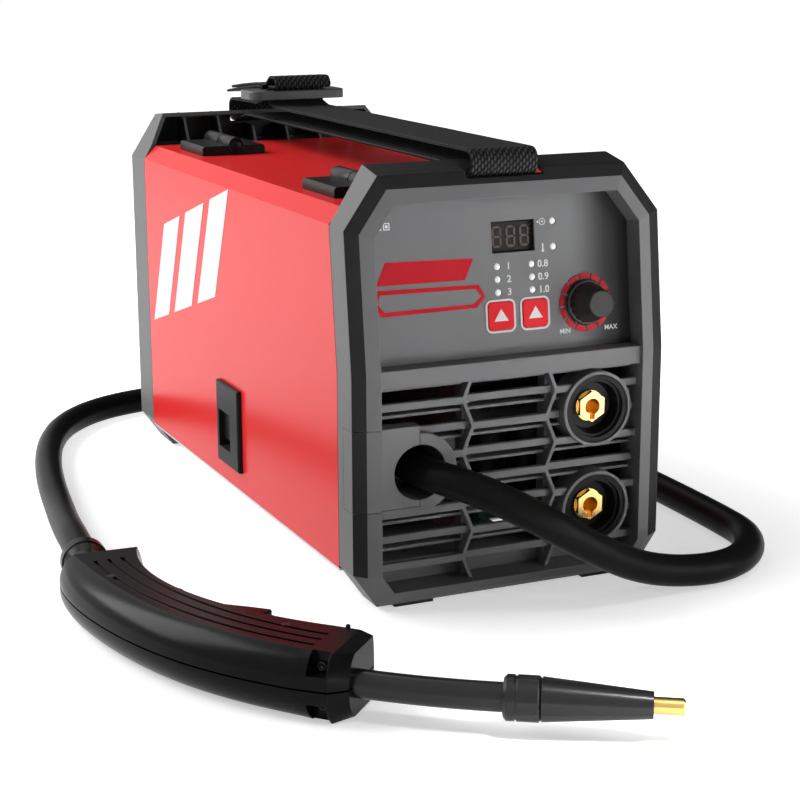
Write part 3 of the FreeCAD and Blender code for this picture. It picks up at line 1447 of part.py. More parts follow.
def sector(angle0, angle1, radius0, radius1, z0, z1):
    """A block that follows the handle's curve."""
    mid = (angle0 + angle1) / 2
    edges = [
        Part.Arc(at(angle0, radius1, z0), at(mid, radius1, z0), at(angle1, radius1, z0)).toShape(),
        Part.LineSegment(at(angle1, radius1, z0), at(angle1, radius0, z0)).toShape(),
        Part.Arc(at(angle1, radius0, z0), at(mid, radius0, z0), at(angle0, radius0, z0)).toShape(),
        Part.LineSegment(at(angle0, radius0, z0), at(angle0, radius1, z0)).toShape(),
    ]
    return Part.Face(Part.Wire(edges)).extrude(V(0, 0, z1 - z0))


trigger_start, trigger_end = 194.5, 208.0
trigger_slot_gap = 0.6


def handle_half():
    """Upper half of the handle: moulded shell, grooves, trigger slot, nose and bores."""
    body = lofted(handle_stations, 0.0, False)
    first, last = handle_stations[0], handle_stations[-1]
    hollow_stations = [(first[0] - 1,) + first[1:]] + handle_stations[1:-1]
    hollow_stations.append((last[0] + 0.5,) + last[1:])
    hollow = lofted(hollow_stations, handle_wall, False)
    nose = lofted(nose_stations, 0.0, True)
    shell = joined([body.cut(hollow), nose])
    for radius in (232.8, 240.0, 247.2):
        shell = shell.cut(sector(181.0, 221.3, radius - 1.1, radius + 1.1, 15.8, 18.0))
    half = trigger_width / 2 + trigger_slot_gap
    shell = shell.cut(sector(trigger_start - 0.6, trigger_end + 0.5, 200, 232, -1, half))
    shell = shell.cut(sector(221.8, 224.0, 252.5, 275, 7.0, 18.0))
    shell = shell.cut(neck_solid(neck_radius + 0.05))
    end, axis = collar_end()
    rear_ring = sector(178.5, 181.0, 218, 264, 0.1, 16.9).common(lofted(handle_stations, 0.5, False))
    shell = joined([shell, rear_ring])
    return shell.cut(rod(end, axis, collar_radius + 0.05, collar_length + 0.2))


def neck_route():
    """Middle line of the metal neck: inside the handle, then a long gentle bend."""
    inner, outer = 213.0, 226.5
    r = torch_radius + 1.5
    bend, length = 11.0, 67.0
    big = length / math.radians(bend)
    start = at(outer, r)
    heading = along(outer)
    side = V(-heading.y, heading.x, 0)
    centre = start + side * big

    def on_bend(angle):
        a = math.radians(angle)
        return centre - side * (big * math.cos(a)) + heading * (big * math.sin(a))

    arcs = [Part.Arc(at(inner, r), at((inner + outer) / 2, r), start).toShape(),
            Part.Arc(start, on_bend(bend / 2), on_bend(bend)).toShape()]
    a = math.radians(bend)
    final = heading * math.cos(a) + side * math.sin(a)
    return Part.Wire(arcs), on_bend(bend), final


def neck_solid(radius):
    path, end, heading = neck_route()
    first = path.Edges[0]
    start = first.valueAt(first.FirstParameter)
    direction = first.tangentAt(first.FirstParameter)
    circle = Part.Wire(Part.makeCircle(radius, start, direction))
    return path.makePipeShell([circle], True, False)


def torch_neck():
    return neck_solid(neck_radius)


def nozzle_base():
    path, end, heading = neck_route()
    body = rod(end, heading, nozzle_base_radius, nozzle_base_length)
    body = body.makeChamfer(1.4, [e for e in body.Edges if e.Length > 50])
    ring = rod(end + heading * 5, heading, nozzle_base_radius + 1, 1.2)
    ring = ring.cut(rod(end + heading * 4, heading, nozzle_base_radius - 0.6, 4))
    return body.cut(ring)


def torch_nozzle():
    path, end, heading = neck_route()
    start = end + heading * nozzle_base_length
    cone = Part.makeCone(nozzle_radius, nozzle_tip_radius, nozzle_length, start, heading)
    end_bore = start + heading * (nozzle_length - 16)
    return cone.cut(rod(end_bore, heading, tip_radius + 0.1, 20))


def contact_tip():
    path, end, heading = neck_route()
    start = end + heading * (nozzle_base_length + nozzle_length - 15.5)
    body = rod(start, heading, tip_radius, 15.5 + tip_reach)
    body = body.makeChamfer(0.8, [e for e in body.Edges if e.Length > 20])
    return body.cut(rod(start - heading, heading, tip_bore, 60))


def torch_trigger():
    """Lever on the inner side of the handle, with a pivot boss at its rear end."""
    half = trigger_width / 2
    points = [at(trigger_start, 229), at(trigger_start, 220.5), at(199.5, 213.5),
              at(204.5, 204.5), at(207.0, 201.5), at(207.5, 203.5), at(207.5, 229)]
    face = Part.Face(wire_of([p + V(0, 0, -half) for p in points]))
    lever = face.extrude(V(0, 0, trigger_width))
    corners = [e for e in lever.Edges if abs(e.tangentAt(e.FirstParameter).z) > 0.9
               and (e.CenterOfMass - torch_centre).Length < 206]
    lever = lever.makeFillet(1.0, corners)
    boss = rod(trigger_pivot() - V(0, 0, half), V(0, 0, 1), 3.6, trigger_width)
    pin = rod(trigger_pivot() - V(0, 0, half + 2.0), V(0, 0, 1), 1.5, trigger_width + 4.0)
    return joined([lever, boss, pin])


def trigger_pivot():
    return at(trigger_start + 0.8, 229.0)


def trigger_posts(shell):
    """Bosses inside the half shell that hold the trigger's pin."""
    half = trigger_width / 2 + 0.35
    post = rod(trigger_pivot() + V(0, 0, half), V(0, 0, 1), 4.0, 17 - handle_wall + 0.4 - half)
    post = post.cut(rod(trigger_pivot(), V(0, 0, 1), 1.5 + pin_gap, half + 2.4))
    switch_rests = [sector(a, a + 1.2, 238, 246, switch_half_height, 17 - handle_wall + 0.4)
                    for a in (200.3, 203.5)]
    return joined([shell, post] + switch_rests)


def trigger_switch():
    block = sector(200.0, 205.0, 236.0, 248.0, -switch_half_height, switch_half_height)
    plunger = rod(at(202.5, 233.0), at(202.5, 240.0) - at(202.5, 233.0), 1.6, 4.0)
    return joined([block, plunger])


def mirrored(shape):
    return shape.mirror(torch_centre, V(0, 0, 1))


def torch_screws():
    """Two small screws of the handle and the pin at its nose."""
    screws = []
    for angle, radius in ((187.0, 248.0), (215.0, 229.5)):
        head = rod(at(angle, radius, 14.0), V(0, 0, 1), 2.4, 2.9)
        shank = rod(at(angle, radius, -10.0), V(0, 0, 1), 1.2, 24.5)
        screws.append(joined([head, shank]))
    return screws


def with_screw_holes(shell):
    for angle, radius in ((187.0, 248.0), (215.0, 229.5)):
        boss = rod(at(angle, radius, 0.1), V(0, 0, 1), 3.4, 15.5)
        shell = joined([shell, boss])
        shell = shell.cut(rod(at(angle, radius, -1), V(0, 0, 1), 1.25, 17))
    return shell


def with_screw_heads(shell):
    for angle, radius in ((187.0, 248.0), (215.0, 229.5)):
        shell = shell.cut(rod(at(angle, radius, 13.95), V(0, 0, 1), 2.45, 6))
    return shell


def build():
    parts = {}
    parts["front_bezel"] = front_bezel()
    parts["cable_cover"] = cable_cover()
    parts["cable_gland"] = cable_gland()
    parts["control_panel"] = control_panel()
    parts["display_window"] = display_window()
    parts["display_module"] = display_module()
    parts["indicator_leds"] = indicator_leds()
    parts["mode_button"] = push_button(mode_button_x)
    parts["size_button"] = push_button(size_button_x)
    parts["control_knob"] = control_knob()
    parts["potentiometer"] = potentiometer()
    parts["control_board"] = control_board()
    for name, z in zip(("upper", "lower"), socket_heights):
        parts["socket_" + name] = socket_body(z)
        parts["contact_" + name] = contact(z)
    parts["main_cover"] = main_cover()
    parts["side_door"] = side_door()
    parts["base_tray"] = base_tray()
    parts["divider_plate"] = divider_plate()
    parts["rear_bezel"] = rear_bezel()
    parts["fan_frame"] = fan_frame()
    parts["fan_rotor"] = fan_rotor()
    parts["switch_housing"] = switch_housing()
    parts["power_rocker"] = power_rocker()
    parts["power_gland"] = power_gland()
    parts["fixed_leaves"] = fixed_leaves()
    parts["door_leaves"] = door_leaves()
    parts["hinge_pins"] = hinge_pins()
    parts["latch_plate"] = with_latch_sockets(latch_plate())
    parts["latch_paddle"] = latch_paddle()
    parts["foot_pads"] = foot_pads()
    parts["wire_spool"] = wire_spool()
    parts["welding_wire"] = welding_wire()
    parts["spool_spindle"] = spool_spindle()
    parts["spool_nut"] = spool_nut()
    parts["feed_motor"] = feed_motor()
    parts["feed_body"] = feed_body()
    parts["drive_roll"] = drive_roll()
    parts["pressure_roll"] = pressure_roll()
    parts["pressure_arm"] = pressure_arm()
    parts["tension_screw"] = tension_screw()
    parts["torch_adapter"] = torch_adapter()
    parts["power_board"] = power_board()
    parts["heatsinks"] = heatsinks()
    parts["transformer"] = transformer()
    parts["capacitors"] = capacitors()
    parts["strap_webbing"] = strap_webbing()
    parts["strap_slider"] = strap_slider()
    parts["torch_cable"] = torch_cable()
    parts["torch_collar"] = torch_collar()
    half = with_screw_holes(trigger_posts(handle_half()))
    parts["handle_upper"] = with_screw_heads(half)
    parts["handle_lower"] = mirrored(half)
    parts["torch_neck"] = torch_neck()
    parts["nozzle_base"] = nozzle_base()
    parts["torch_nozzle"] = torch_nozzle()
    parts["contact_tip"] = contact_tip()
    parts["torch_trigger"] = torch_trigger()
    parts["trigger_switch"] = trigger_switch()
    parts["torch_screws"] = Part.makeCompound(torch_screws())
    return parts


for name, shape in build().items():
    solids = shape.Solids
    good = all(s.isValid() for s in solids)
    print(f"{name:16s} solids {len(solids)} volume {shape.Volume / 1000:9.2f} cm3 valid {good}")
    whole = solids[0] if len(solids) == 1 else Part.makeCompound(solids)
    whole.exportStep(f"parts/{name}.step")
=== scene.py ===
import bpy
import bmesh
import math
from mathutils import Matrix, Vector


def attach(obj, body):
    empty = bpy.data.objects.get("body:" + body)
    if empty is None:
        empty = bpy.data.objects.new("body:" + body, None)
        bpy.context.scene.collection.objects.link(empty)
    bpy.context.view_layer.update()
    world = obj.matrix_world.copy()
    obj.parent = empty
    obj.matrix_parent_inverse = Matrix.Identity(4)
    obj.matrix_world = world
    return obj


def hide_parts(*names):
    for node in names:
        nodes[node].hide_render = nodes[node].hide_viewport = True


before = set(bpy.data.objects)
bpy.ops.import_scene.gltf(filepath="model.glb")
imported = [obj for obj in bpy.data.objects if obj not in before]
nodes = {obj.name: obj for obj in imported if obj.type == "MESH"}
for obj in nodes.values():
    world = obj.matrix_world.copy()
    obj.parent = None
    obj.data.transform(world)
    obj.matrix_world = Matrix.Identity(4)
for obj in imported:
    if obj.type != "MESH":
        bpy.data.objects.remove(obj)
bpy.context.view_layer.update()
print("frame loaded with", len(nodes), "nodes")


# camera at the photograph's viewing angle
cameraSettings = {"place": (-0.4484, -1.05413, 0.34783), "yaw": 23.943, "down": 14.03,
                  "roll": -0.235, "focus": 1832.26, "frame": 800.0, "middle": (396.09, 403.27),
                  "sensor": 36.0, "clip": (0.05, 20.0)}


def addCamera():
    s = cameraSettings
    yaw, down, roll = (math.radians(s[k]) for k in ("yaw", "down", "roll"))
    ahead = Vector((math.sin(yaw) * math.cos(down), math.cos(yaw) * math.cos(down),
                    -math.sin(down)))
    right = Vector((math.cos(yaw), -math.sin(yaw), 0))
    up = right.cross(ahead)
    sideways = right * math.cos(roll) + up * math.sin(roll)
    upwards = up * math.cos(roll) - right * math.sin(roll)
    turn = Matrix((sideways, upwards, -ahead)).transposed()
    bpy.ops.object.camera_add(location=s["place"], rotation=turn.to_euler())
    camera = bpy.context.object
    camera.name = "camera"
    camera.data.sensor_width = s["sensor"]
    camera.data.lens = s["sensor"] * s["focus"] / s["frame"]
    camera.data.shift_x = 0.5 - s["middle"][0] / s["frame"]
    camera.data.shift_y = s["middle"][1] / s["frame"] - 0.5
    camera.data.clip_start, camera.data.clip_end = s["clip"]
    bpy.context.scene.camera = camera


addCamera()
print("camera placed")


# small helpers for building node trees
def setSockets(node, values):
    for socket, value in (values or {}).items():
        node.inputs[socket].default_value = value


def addNode(tree, kind, values=None, **settings):
    node = tree.nodes.new(kind)
    for key, value in settings.items():
        setattr(node, key, value)
    setSockets(node, values)
    return node


def link(tree, source, output, target, socket):
    tree.links.new(source.outputs[output], target.inputs[socket])


def startGroup(name, inputs, outputs):
    # inputs with a plain number are values, all others vectors
    tree = bpy.data.node_groups.new(name, "ShaderNodeTree")
    for label, value in inputs.items():
        kind = "NodeSocketFloat" if isinstance(value, float) else "NodeSocketVector"
        socket = tree.interface.new_socket(label, in_out="INPUT", socket_type=kind)
        if value is not None:
            socket.default_value = value
    for label in outputs:
        tree.interface.new_socket(label, in_out="OUTPUT", socket_type="NodeSocketFloat")
    return tree, tree.nodes.new("NodeGroupInput"), tree.nodes.new("NodeGroupOutput")


def noiseNode(tree, source, output, **values):
    noise = addNode(tree, "ShaderNodeTexNoise", values)
    link(tree, source, output, noise, "Vector")
    return noise


def mathNode(tree, operation, first=None, second=None, third=None):
    node = addNode(tree, "ShaderNodeMath", operation=operation)
    for i, value in enumerate((first, second, third)):
        if value is None:
            continue
        if isinstance(value, (int, float)):
            node.inputs[i].default_value = value
        else:
            tree.links.new(value, node.inputs[i])
    return node.outputs[0]


def splitNode(tree, source, output):
    # the X, Y and Z of a vector
    split = addNode(tree, "ShaderNodeSeparateXYZ")
    link(tree, source, output, split, "Vector")
    return split.outputs


def blendNode(tree, factor, first, second):
    # a mix of two colours, each one plain or from another node
    mix = addNode(tree, "ShaderNodeMix", data_type="RGBA")
    tree.links.new(factor, mix.inputs["Factor"])
    for slot, value in ((6, first), (7, second)):
        if isinstance(value, tuple):
            mix.inputs[slot].default_value = (*value, 1.0)
        else:
            tree.links.new(value, mix.inputs[slot])
    return mix.outputs[2]


grainSettings = {"cells": 1400.0, "spread": 0.1, "drift": 14.0, "fineShare": 0.6,
                 "polishShare": 0.25, "middle": 0.5}


def buildMouldGrain():
    # spark-eroded grain of moulded plastic, and a slow change of tone over a part
    s = grainSettings
    tree, start, end = startGroup("mouldGrain", {
        "Place": None, "Cells": s["cells"], "Tone spread": s["spread"], "Drift": s["drift"]},
        ("Height", "Tone", "Polish"))
    cells = addNode(tree, "ShaderNodeTexVoronoi", feature="SMOOTH_F1")
    link(tree, start, "Place", cells, "Vector")
    link(tree, start, "Cells", cells, "Scale")
    fine = noiseNode(tree, start, "Place", Detail=2.0)
    tree.links.new(mathNode(tree, "MULTIPLY", start.outputs["Cells"], s["fineShare"]),
                   fine.inputs["Scale"])
    height = mathNode(tree, "ADD", cells.outputs["Distance"], fine.outputs["Fac"])
    tree.links.new(height, end.inputs["Height"])
    slow = noiseNode(tree, start, "Place", Detail=3.0, Roughness=0.5)
    link(tree, start, "Drift", slow, "Scale")
    centred = mathNode(tree, "SUBTRACT", slow.outputs["Fac"], s["middle"])
    spread = mathNode(tree, "MULTIPLY", centred, start.outputs["Tone spread"])
    tree.links.new(mathNode(tree, "ADD", spread, s["middle"]), end.inputs["Tone"])
    tree.links.new(mathNode(tree, "MULTIPLY_ADD", centred, s["polishShare"], s["middle"]),
                   end.inputs["Polish"])
    return tree


filmSettings = {"peel": 420.0, "slow": (("Tone", 7.0), ("Gloss", 9.0))}


def buildPaintFilm():
    # faint orange peel of sprayed paint, and slow changes of its tone and gloss
    s = filmSettings
    tree, start, end = startGroup("paintFilm", {"Place": None, "Peel": s["peel"]},
                                  ("Height", "Tone", "Gloss"))
    peel = noiseNode(tree, start, "Place", Detail=1.0)
    link(tree, start, "Peel", peel, "Scale")
    link(tree, peel, "Fac", end, "Height")
    for output, scale in s["slow"]:
        slow = noiseNode(tree, start, "Place", Scale=scale, Detail=2.0)
        link(tree, slow, "Fac", end, output)
    return tree


brushSettings = {"lines": 900.0, "slow": 40.0}


def buildBrushLines():
    # fine machining or rolling lines along one direction
    s = brushSettings
    tree, start, end = startGroup("brushLines", {"Place": None, "Stretch": (1.0, 1.0, 1.0)},
                                  ("Height", "Tone"))
    scaled = addNode(tree, "ShaderNodeVectorMath", operation="MULTIPLY")
    link(tree, start, "Place", scaled, 0)
    link(tree, start, "Stretch", scaled, 1)
    lines = noiseNode(tree, scaled, 0, Scale=s["lines"], Detail=3.0)
    link(tree, lines, "Fac", end, "Height")
    slow = noiseNode(tree, start, "Place", Scale=s["slow"], Detail=2.0)
    link(tree, slow, "Fac", end, "Tone")
    return tree


weaveSettings = {"column": 0.0019, "stitch": 0.0034, "step": 0.5, "slant": 0.3,
                 "fibres": 5200.0, "fibreHeight": 0.12, "contrast": 1.4}


def buildWebWeave():
    # tubular webbing: short raised stitches in columns, every other column half a step on
    s = weaveSettings
    tree, start, end = startGroup("webWeave", {
        "Along": None, "Column": s["column"], "Stitch": s["stitch"]}, ("Height", "Tone"))
    split = splitNode(tree, start, "Along")
    across = mathNode(tree, "DIVIDE", split["X"], start.outputs["Column"])
    within = mathNode(tree, "FRACT", across)
    column = mathNode(tree, "FLOOR", across)
    odd = mathNode(tree, "MODULO", mathNode(tree, "ABSOLUTE", column), 2.0)
    down = mathNode(tree, "DIVIDE", split["Y"], start.outputs["Stitch"])
    shifted = mathNode(tree, "MULTIPLY_ADD", odd, s["step"], down)
    leaned = mathNode(tree, "MULTIPLY_ADD", within, s["slant"], shifted)
    ridge = mathNode(tree, "SINE", mathNode(tree, "MULTIPLY", within, math.pi))
    bead = mathNode(tree, "SINE", mathNode(tree, "MULTIPLY", mathNode(tree, "FRACT", leaned),
                                           math.pi))
    stitch = mathNode(tree, "MULTIPLY", ridge, bead)
    fibres = noiseNode(tree, start, "Along", Scale=s["fibres"], Detail=2.0)
    height = mathNode(tree, "MULTIPLY_ADD", fibres.outputs["Fac"], s["fibreHeight"], stitch)
    tree.links.new(height, end.inputs["Height"])
    # the stitch pattern is real; its tone, lighter on the stitch tops and darker between them, is
    # painted sheen and painted shade
    tree.links.new(mathNode(tree, "POWER", stitch, s["contrast"]), end.inputs["Tone"])
    return tree


def buildBoxMask():
    # one inside a box between two corners, nothing outside it
    tree, start, end = startGroup("boxMask", {"Place": None, "Low": None, "High": None},
                                  ("Mask",))
    place, low, high = (splitNode(tree, start, name) for name in ("Place", "Low", "High"))
    mask = None
    for axis in "XYZ":
        above = mathNode(tree, "GREATER_THAN", place[axis], low[axis])
        below = mathNode(tree, "LESS_THAN", place[axis], high[axis])
        both = mathNode(tree, "MULTIPLY", above, below)
        mask = both if mask is None else mathNode(tree, "MULTIPLY", mask, both)
    tree.links.new(mask, end.inputs["Mask"])
    return tree


mouldGrain = buildMouldGrain()
boxMask = buildBoxMask()
paintFilm = buildPaintFilm()
brushLines = buildBrushLines()
webWeave = buildWebWeave()
print("surface groups built")


def startMaterial(name, values=None):
    material = bpy.data.materials.new(name)
    material.use_nodes = True
    tree = material.node_tree
    shader = tree.nodes["Principled BSDF"]
    setSockets(shader, values)
    return material, tree, shader, addNode(tree, "ShaderNodeTexCoord")


def groupAt(tree, place, group, values=None):
    # a surface group read in the object's own coordinates
    node = addNode(tree, "ShaderNodeGroup", values, node_tree=group)
    link(tree, place, "Object", node, "Place")
    return node.outputs


def shadeBetween(tree, factor, low, high, shader):
    tree.links.new(blendNode(tree, factor, low, high), shader.inputs["Base Color"])


def coverTone(tree, factor, colour, shader):
    # another colour over the tone that a shader has
    tone = shader.inputs["Base Color"].links[0].from_socket
    shadeBetween(tree, factor, tone, colour, shader)


def rangeNode(tree, value, start, end, low, high, **settings):
    spread = addNode(tree, "ShaderNodeMapRange", {"From Min": start, "From Max": end,
                                                  "To Min": low, "To Max": high}, **settings)
    tree.links.new(value, spread.inputs["Value"])
    return spread.outputs["Result"]


def roughBetween(tree, factor, low, high, shader):
    tree.links.new(rangeNode(tree, factor, 0.0, 1.0, low, high), shader.inputs["Roughness"])


edgeSamples = 6


def bumpFrom(tree, height, distance, strength, shader, edge=0.0):
    bump = addNode(tree, "ShaderNodeBump", {"Distance": distance, "Strength": strength})
    tree.links.new(height, bump.inputs["Height"])
    if edge:
        rounding = addNode(tree, "ShaderNodeBevel", {"Radius": edge}, samples=edgeSamples)
        link(tree, rounding, "Normal", bump, "Normal")
    link(tree, bump, "Normal", shader, "Normal")


def shades(colour, shares):
    return [tuple(min(1.0, c * share) for c in colour) for share in shares]


plasticSettings = {"shares": (0.8, 1.2), "spread": 0.5, "swing": 0.1, "relief": 0.5}


def plasticMaterial(name, colour, rough, cells=1400.0, grain=0.00003, specular=0.2, edge=0.0005):
    s = plasticSettings
    material, tree, shader, place = startMaterial(name, {"Specular IOR Level": specular})
    surface = groupAt(tree, place, mouldGrain, {"Cells": cells, "Tone spread": s["spread"]})
    shadeBetween(tree, surface["Tone"], *shades(colour, s["shares"]), shader)
    roughBetween(tree, surface["Polish"], rough - s["swing"], rough + s["swing"], shader)
    bumpFrom(tree, surface["Height"], grain, s["relief"], shader, edge)
    return material


paintSettings = {"shares": (0.98, 1.02), "coatRough": 0.2, "rough": (0.32, 0.38),
                 "peel": 0.00001, "relief": 0.5, "edge": 0.0006}


def paintMaterial(name, colour, coat, specular=0.0, bounce=None):
    s = paintSettings
    material, tree, shader, place = startMaterial(name, {
        "Specular IOR Level": specular, "Coat Weight": coat, "Coat Roughness": s["coatRough"]})
    surface = groupAt(tree, place, paintFilm)
    shadeBetween(tree, surface["Tone"], *shades(colour, s["shares"]), shader)
    if bounce:
        # what the paint throws onto the floor stays neutral
        rays = tree.nodes.new("ShaderNodeLightPath")
        coverTone(tree, rays.outputs["Is Diffuse Ray"], bounce, shader)
    roughBetween(tree, surface["Gloss"], *s["rough"], shader)
    bumpFrom(tree, surface["Height"], s["peel"], s["relief"], shader, s["edge"])
    return material


metalSettings = {"shares": (0.85, 1.1), "stretch": (1.0, 0.05, 1.0), "smoother": 0.08,
                 "rougher": 0.12, "lines": 0.00001, "relief": 0.4, "edge": 0.0003}


def metalMaterial(name, colour, rough):
    s = metalSettings
    material, tree, shader, place = startMaterial(name, {"Metallic": 1.0})
    surface = groupAt(tree, place, brushLines, {"Stretch": s["stretch"]})
    shadeBetween(tree, surface["Tone"], *shades(colour, s["shares"]), shader)
    roughBetween(tree, surface["Height"], rough - s["smoother"], rough + s["rougher"], shader)
    bumpFrom(tree, surface["Height"], s["lines"], s["relief"], shader, s["edge"])
    return material


# colour, roughness and, where they differ, cells, grain, specular and edge
plastics = {
    "framePlastic": ((0.15, 0.15, 0.152), 0.45, {"specular": 0.15, "edge": 0.0008}),
    "rearPlastic": ((0.14, 0.14, 0.142), 0.45, {"specular": 0.15, "edge": 0.0008}),
    "blackPlastic": ((0.008, 0.008, 0.008), 0.3, {"specular": 0.08}),
    # the latch plate's own near-black, also used as painted shade on the front frame's slope and
    # top
    "darkPlasticAndPaintedShade": ((0.02, 0.02, 0.0205), 0.4, {"specular": 0.08, "edge": 0.0008}),
    "knobRimGrey": ((0.06, 0.06, 0.06), 0.4, {"edge": 0.0002}),
    "knobPlastic": ((0.02, 0.02, 0.02), 0.38, {"edge": 0.0004}),
    "handlePlastic": ((0.005, 0.005, 0.005), 0.24,
                      {"cells": 1800.0, "grain": 0.000012, "specular": 0.08}),
    "handleShell": ((0.005, 0.005, 0.005), 0.24,
                    {"cells": 1800.0, "grain": 0.000012, "specular": 0.08}),
    "sliderPlastic": ((0.1, 0.1, 0.1), 0.32, {"edge": 0.0007}),
    "boardGreen": ((0.02, 0.1, 0.045), 0.4, {"cells": 700.0}),
    "boardDark": ((0.006, 0.014, 0.009), 0.5, {"cells": 700.0}),
    "ferriteCore": ((0.05, 0.05, 0.052), 0.7, {"cells": 900.0, "grain": 0.00006}),
    "footRubber": ((0.02, 0.02, 0.02), 0.7, {"cells": 1600.0}),
    "leadRubber": ((0.008, 0.008, 0.008), 0.34,
                   {"cells": 2400.0, "grain": 0.00001, "specular": 0.035, "edge": 0.0}),
    "torchMetal": ((0.012, 0.012, 0.0125), 0.22,
                   {"cells": 2200.0, "grain": 0.00001, "specular": 0.3}),
    "lampWhite": ((0.8, 0.8, 0.8), 0.25, {"cells": 2600.0, "grain": 0.000005, "edge": 0.0}),
    "redButton": ((0.66, 0.012, 0.02), 0.3,
                  {"cells": 1800.0, "grain": 0.00001, "specular": 0.1, "edge": 0.0003}),
    "printWhite": ((0.8, 0.8, 0.8), 0.4, {"cells": 2600.0, "grain": 0.000005, "edge": 0.0}),
    "printRed": ((0.42, 0.008, 0.016), 0.4,
                 {"cells": 2600.0, "grain": 0.000005, "specular": 0.08, "edge": 0.0}),
}
metals = {
    "blackOxide": ((0.03, 0.03, 0.032), 0.3), "zincSheet": ((0.6, 0.61, 0.63), 0.4),
    "steel": ((0.5, 0.5, 0.51), 0.3), "aluminium": ((0.7, 0.71, 0.72), 0.35),
    "brass": ((0.82, 0.55, 0.2), 0.2), "copperTip": ((0.72, 0.49, 0.16), 0.2),
    "fillerWire": ((0.78, 0.42, 0.25), 0.25),
}
finishes = {name: plasticMaterial(name, colour, rough, **values)
            for name, (colour, rough, values) in plastics.items()}
finishes["casePaint"] = paintMaterial("casePaint", (0.8, 0.03, 0.031), 0.5,
                                      bounce=(0.2, 0.2, 0.2))
finishes["hingePaint"] = paintMaterial("hingePaint", (0.009, 0.009, 0.009), 0.1, specular=0.1)
for name, (colour, rough) in metals.items():
    finishes[name] = metalMaterial(name, colour, rough)


# the panel's plane: the frame's front, the height of its kink, and its lean back above that
panelFront, panelKink, panelLean = -0.19875, 0.130, math.radians(6.6)


def proudMask(tree, place, depth):
    # one on what lies less than a depth behind the frame's leaning front
    along = (0, math.cos(panelLean), -math.sin(panelLean))
    behind = addNode(tree, "ShaderNodeVectorMath", {1: along}, operation="DOT_PRODUCT")
    link(tree, place, "Object", behind, 0)
    zero = panelFront * along[1] + panelKink * along[2]
    return mathNode(tree, "LESS_THAN", behind.outputs["Value"], zero + depth)


panelFinish = {
    "specular": 0.12, "cells": 1500.0, "spread": 0.4,
    "tones": ((0.135, 0.135, 0.137), (0.165, 0.165, 0.167)),
    "paintedShadeRamp": (0.040, 0.067), "paintedShadeColour": (0.016, 0.016, 0.0165), "proud": 0.00785, "dialFrom": 0.031,
    "inks": ((0.75, 0.75, 0.75), (0.42, 0.01, 0.018)), "rough": (0.34, 0.5),
    "grain": 0.00002, "relief": 0.4, "edge": 0.0003,
}


def panelMaterial():
    # the button rims and the dial arcs stand proud of the panel and carry printed colours
    s = panelFinish
    material, tree, shader, place = startMaterial("panelFace",
                                                  {"Specular IOR Level": s["specular"]})
    surface = groupAt(tree, place, mouldGrain, {"Cells": s["cells"], "Tone spread": s["spread"]})
    across = splitNode(tree, place, "Object")["X"]
    # painted shade: the panel darkens towards its right edge
    paintedShadeRamp = rangeNode(tree, across, *s["paintedShadeRamp"], 0.0, 1.0, interpolation_type="SMOOTHSTEP")
    dial = mathNode(tree, "GREATER_THAN", across, s["dialFrom"])
    shadeBetween(tree, surface["Tone"], *s["tones"], shader)
    coverTone(tree, paintedShadeRamp, s["paintedShadeColour"], shader)
    coverTone(tree, proudMask(tree, place, s["proud"]), blendNode(tree, dial, *s["inks"]), shader)
    roughBetween(tree, surface["Polish"], *s["rough"], shader)
    bumpFrom(tree, surface["Height"], s["grain"], s["relief"], shader, s["edge"])
    return material


displayFinish = {"proud": 0.0115, "tones": ((0.005, 0.004, 0.004), (0.24, 0.17, 0.17)),
                 "cells": 2600.0, "rough": (0.3, 0.5)}


def displayMaterial():
    # unlit segments show a dull rose against the black block
    s = displayFinish
    material, tree, shader, place = startMaterial("displayBlock")
    shadeBetween(tree, proudMask(tree, place, s["proud"]), *s["tones"], shader)
    surface = groupAt(tree, place, mouldGrain, {"Cells": s["cells"]})
    roughBetween(tree, surface["Polish"], *s["rough"], shader)
    return material


windowFinish = {
    "plain": {"Transmission Weight": 1.0, "Specular IOR Level": 0.1, "IOR": 1.06},
    "tones": ((0.6, 0.58, 0.58), (0.66, 0.64, 0.64)), "rough": (0.0, 0.02)}


def windowMaterial():
    s = windowFinish
    material, tree, shader, place = startMaterial("smokedWindow", s["plain"])
    surface = groupAt(tree, place, paintFilm)
    shadeBetween(tree, surface["Tone"], *s["tones"], shader)
    roughBetween(tree, surface["Gloss"], *s["rough"], shader)
    return material


webbingFinish = {"specular": 0.08, "tones": ((0.002, 0.002, 0.002), (0.058, 0.058, 0.059)),
                 "rough": (0.75, 0.5), "grain": 0.0005, "relief": 0.8}


def webbingMaterial():
    s = webbingFinish
    material, tree, shader, place = startMaterial("webbing",
                                                  {"Specular IOR Level": s["specular"]})
    surface = addNode(tree, "ShaderNodeGroup", node_tree=webWeave)
    link(tree, place, "UV", surface, "Along")
    # the weave's tone paints sheen on the stitch tops and shade between them
    shadeBetween(tree, surface.outputs["Tone"], *s["tones"], shader)
    roughBetween(tree, surface.outputs["Tone"], *s["rough"], shader)
    bumpFrom(tree, surface.outputs["Height"], s["grain"], s["relief"], shader)
    return material


def nodesOf(finish):
    tree = finishes[finish].node_tree
    place = [n for n in tree.nodes if n.type == "TEX_COORD"][0]
    return tree, place, tree.nodes["Principled BSDF"]


# painted shadow: under the strap the rear frame is darkened behind a plane that leans back with
# height
strapShade = {"low": (-0.0785, 0.1575, 0.2152), "high": (0.0785, 0.1935, 0.2312),
              "colour": (0.01, 0.01, 0.01), "slope": 0.6, "front": 0.0402}


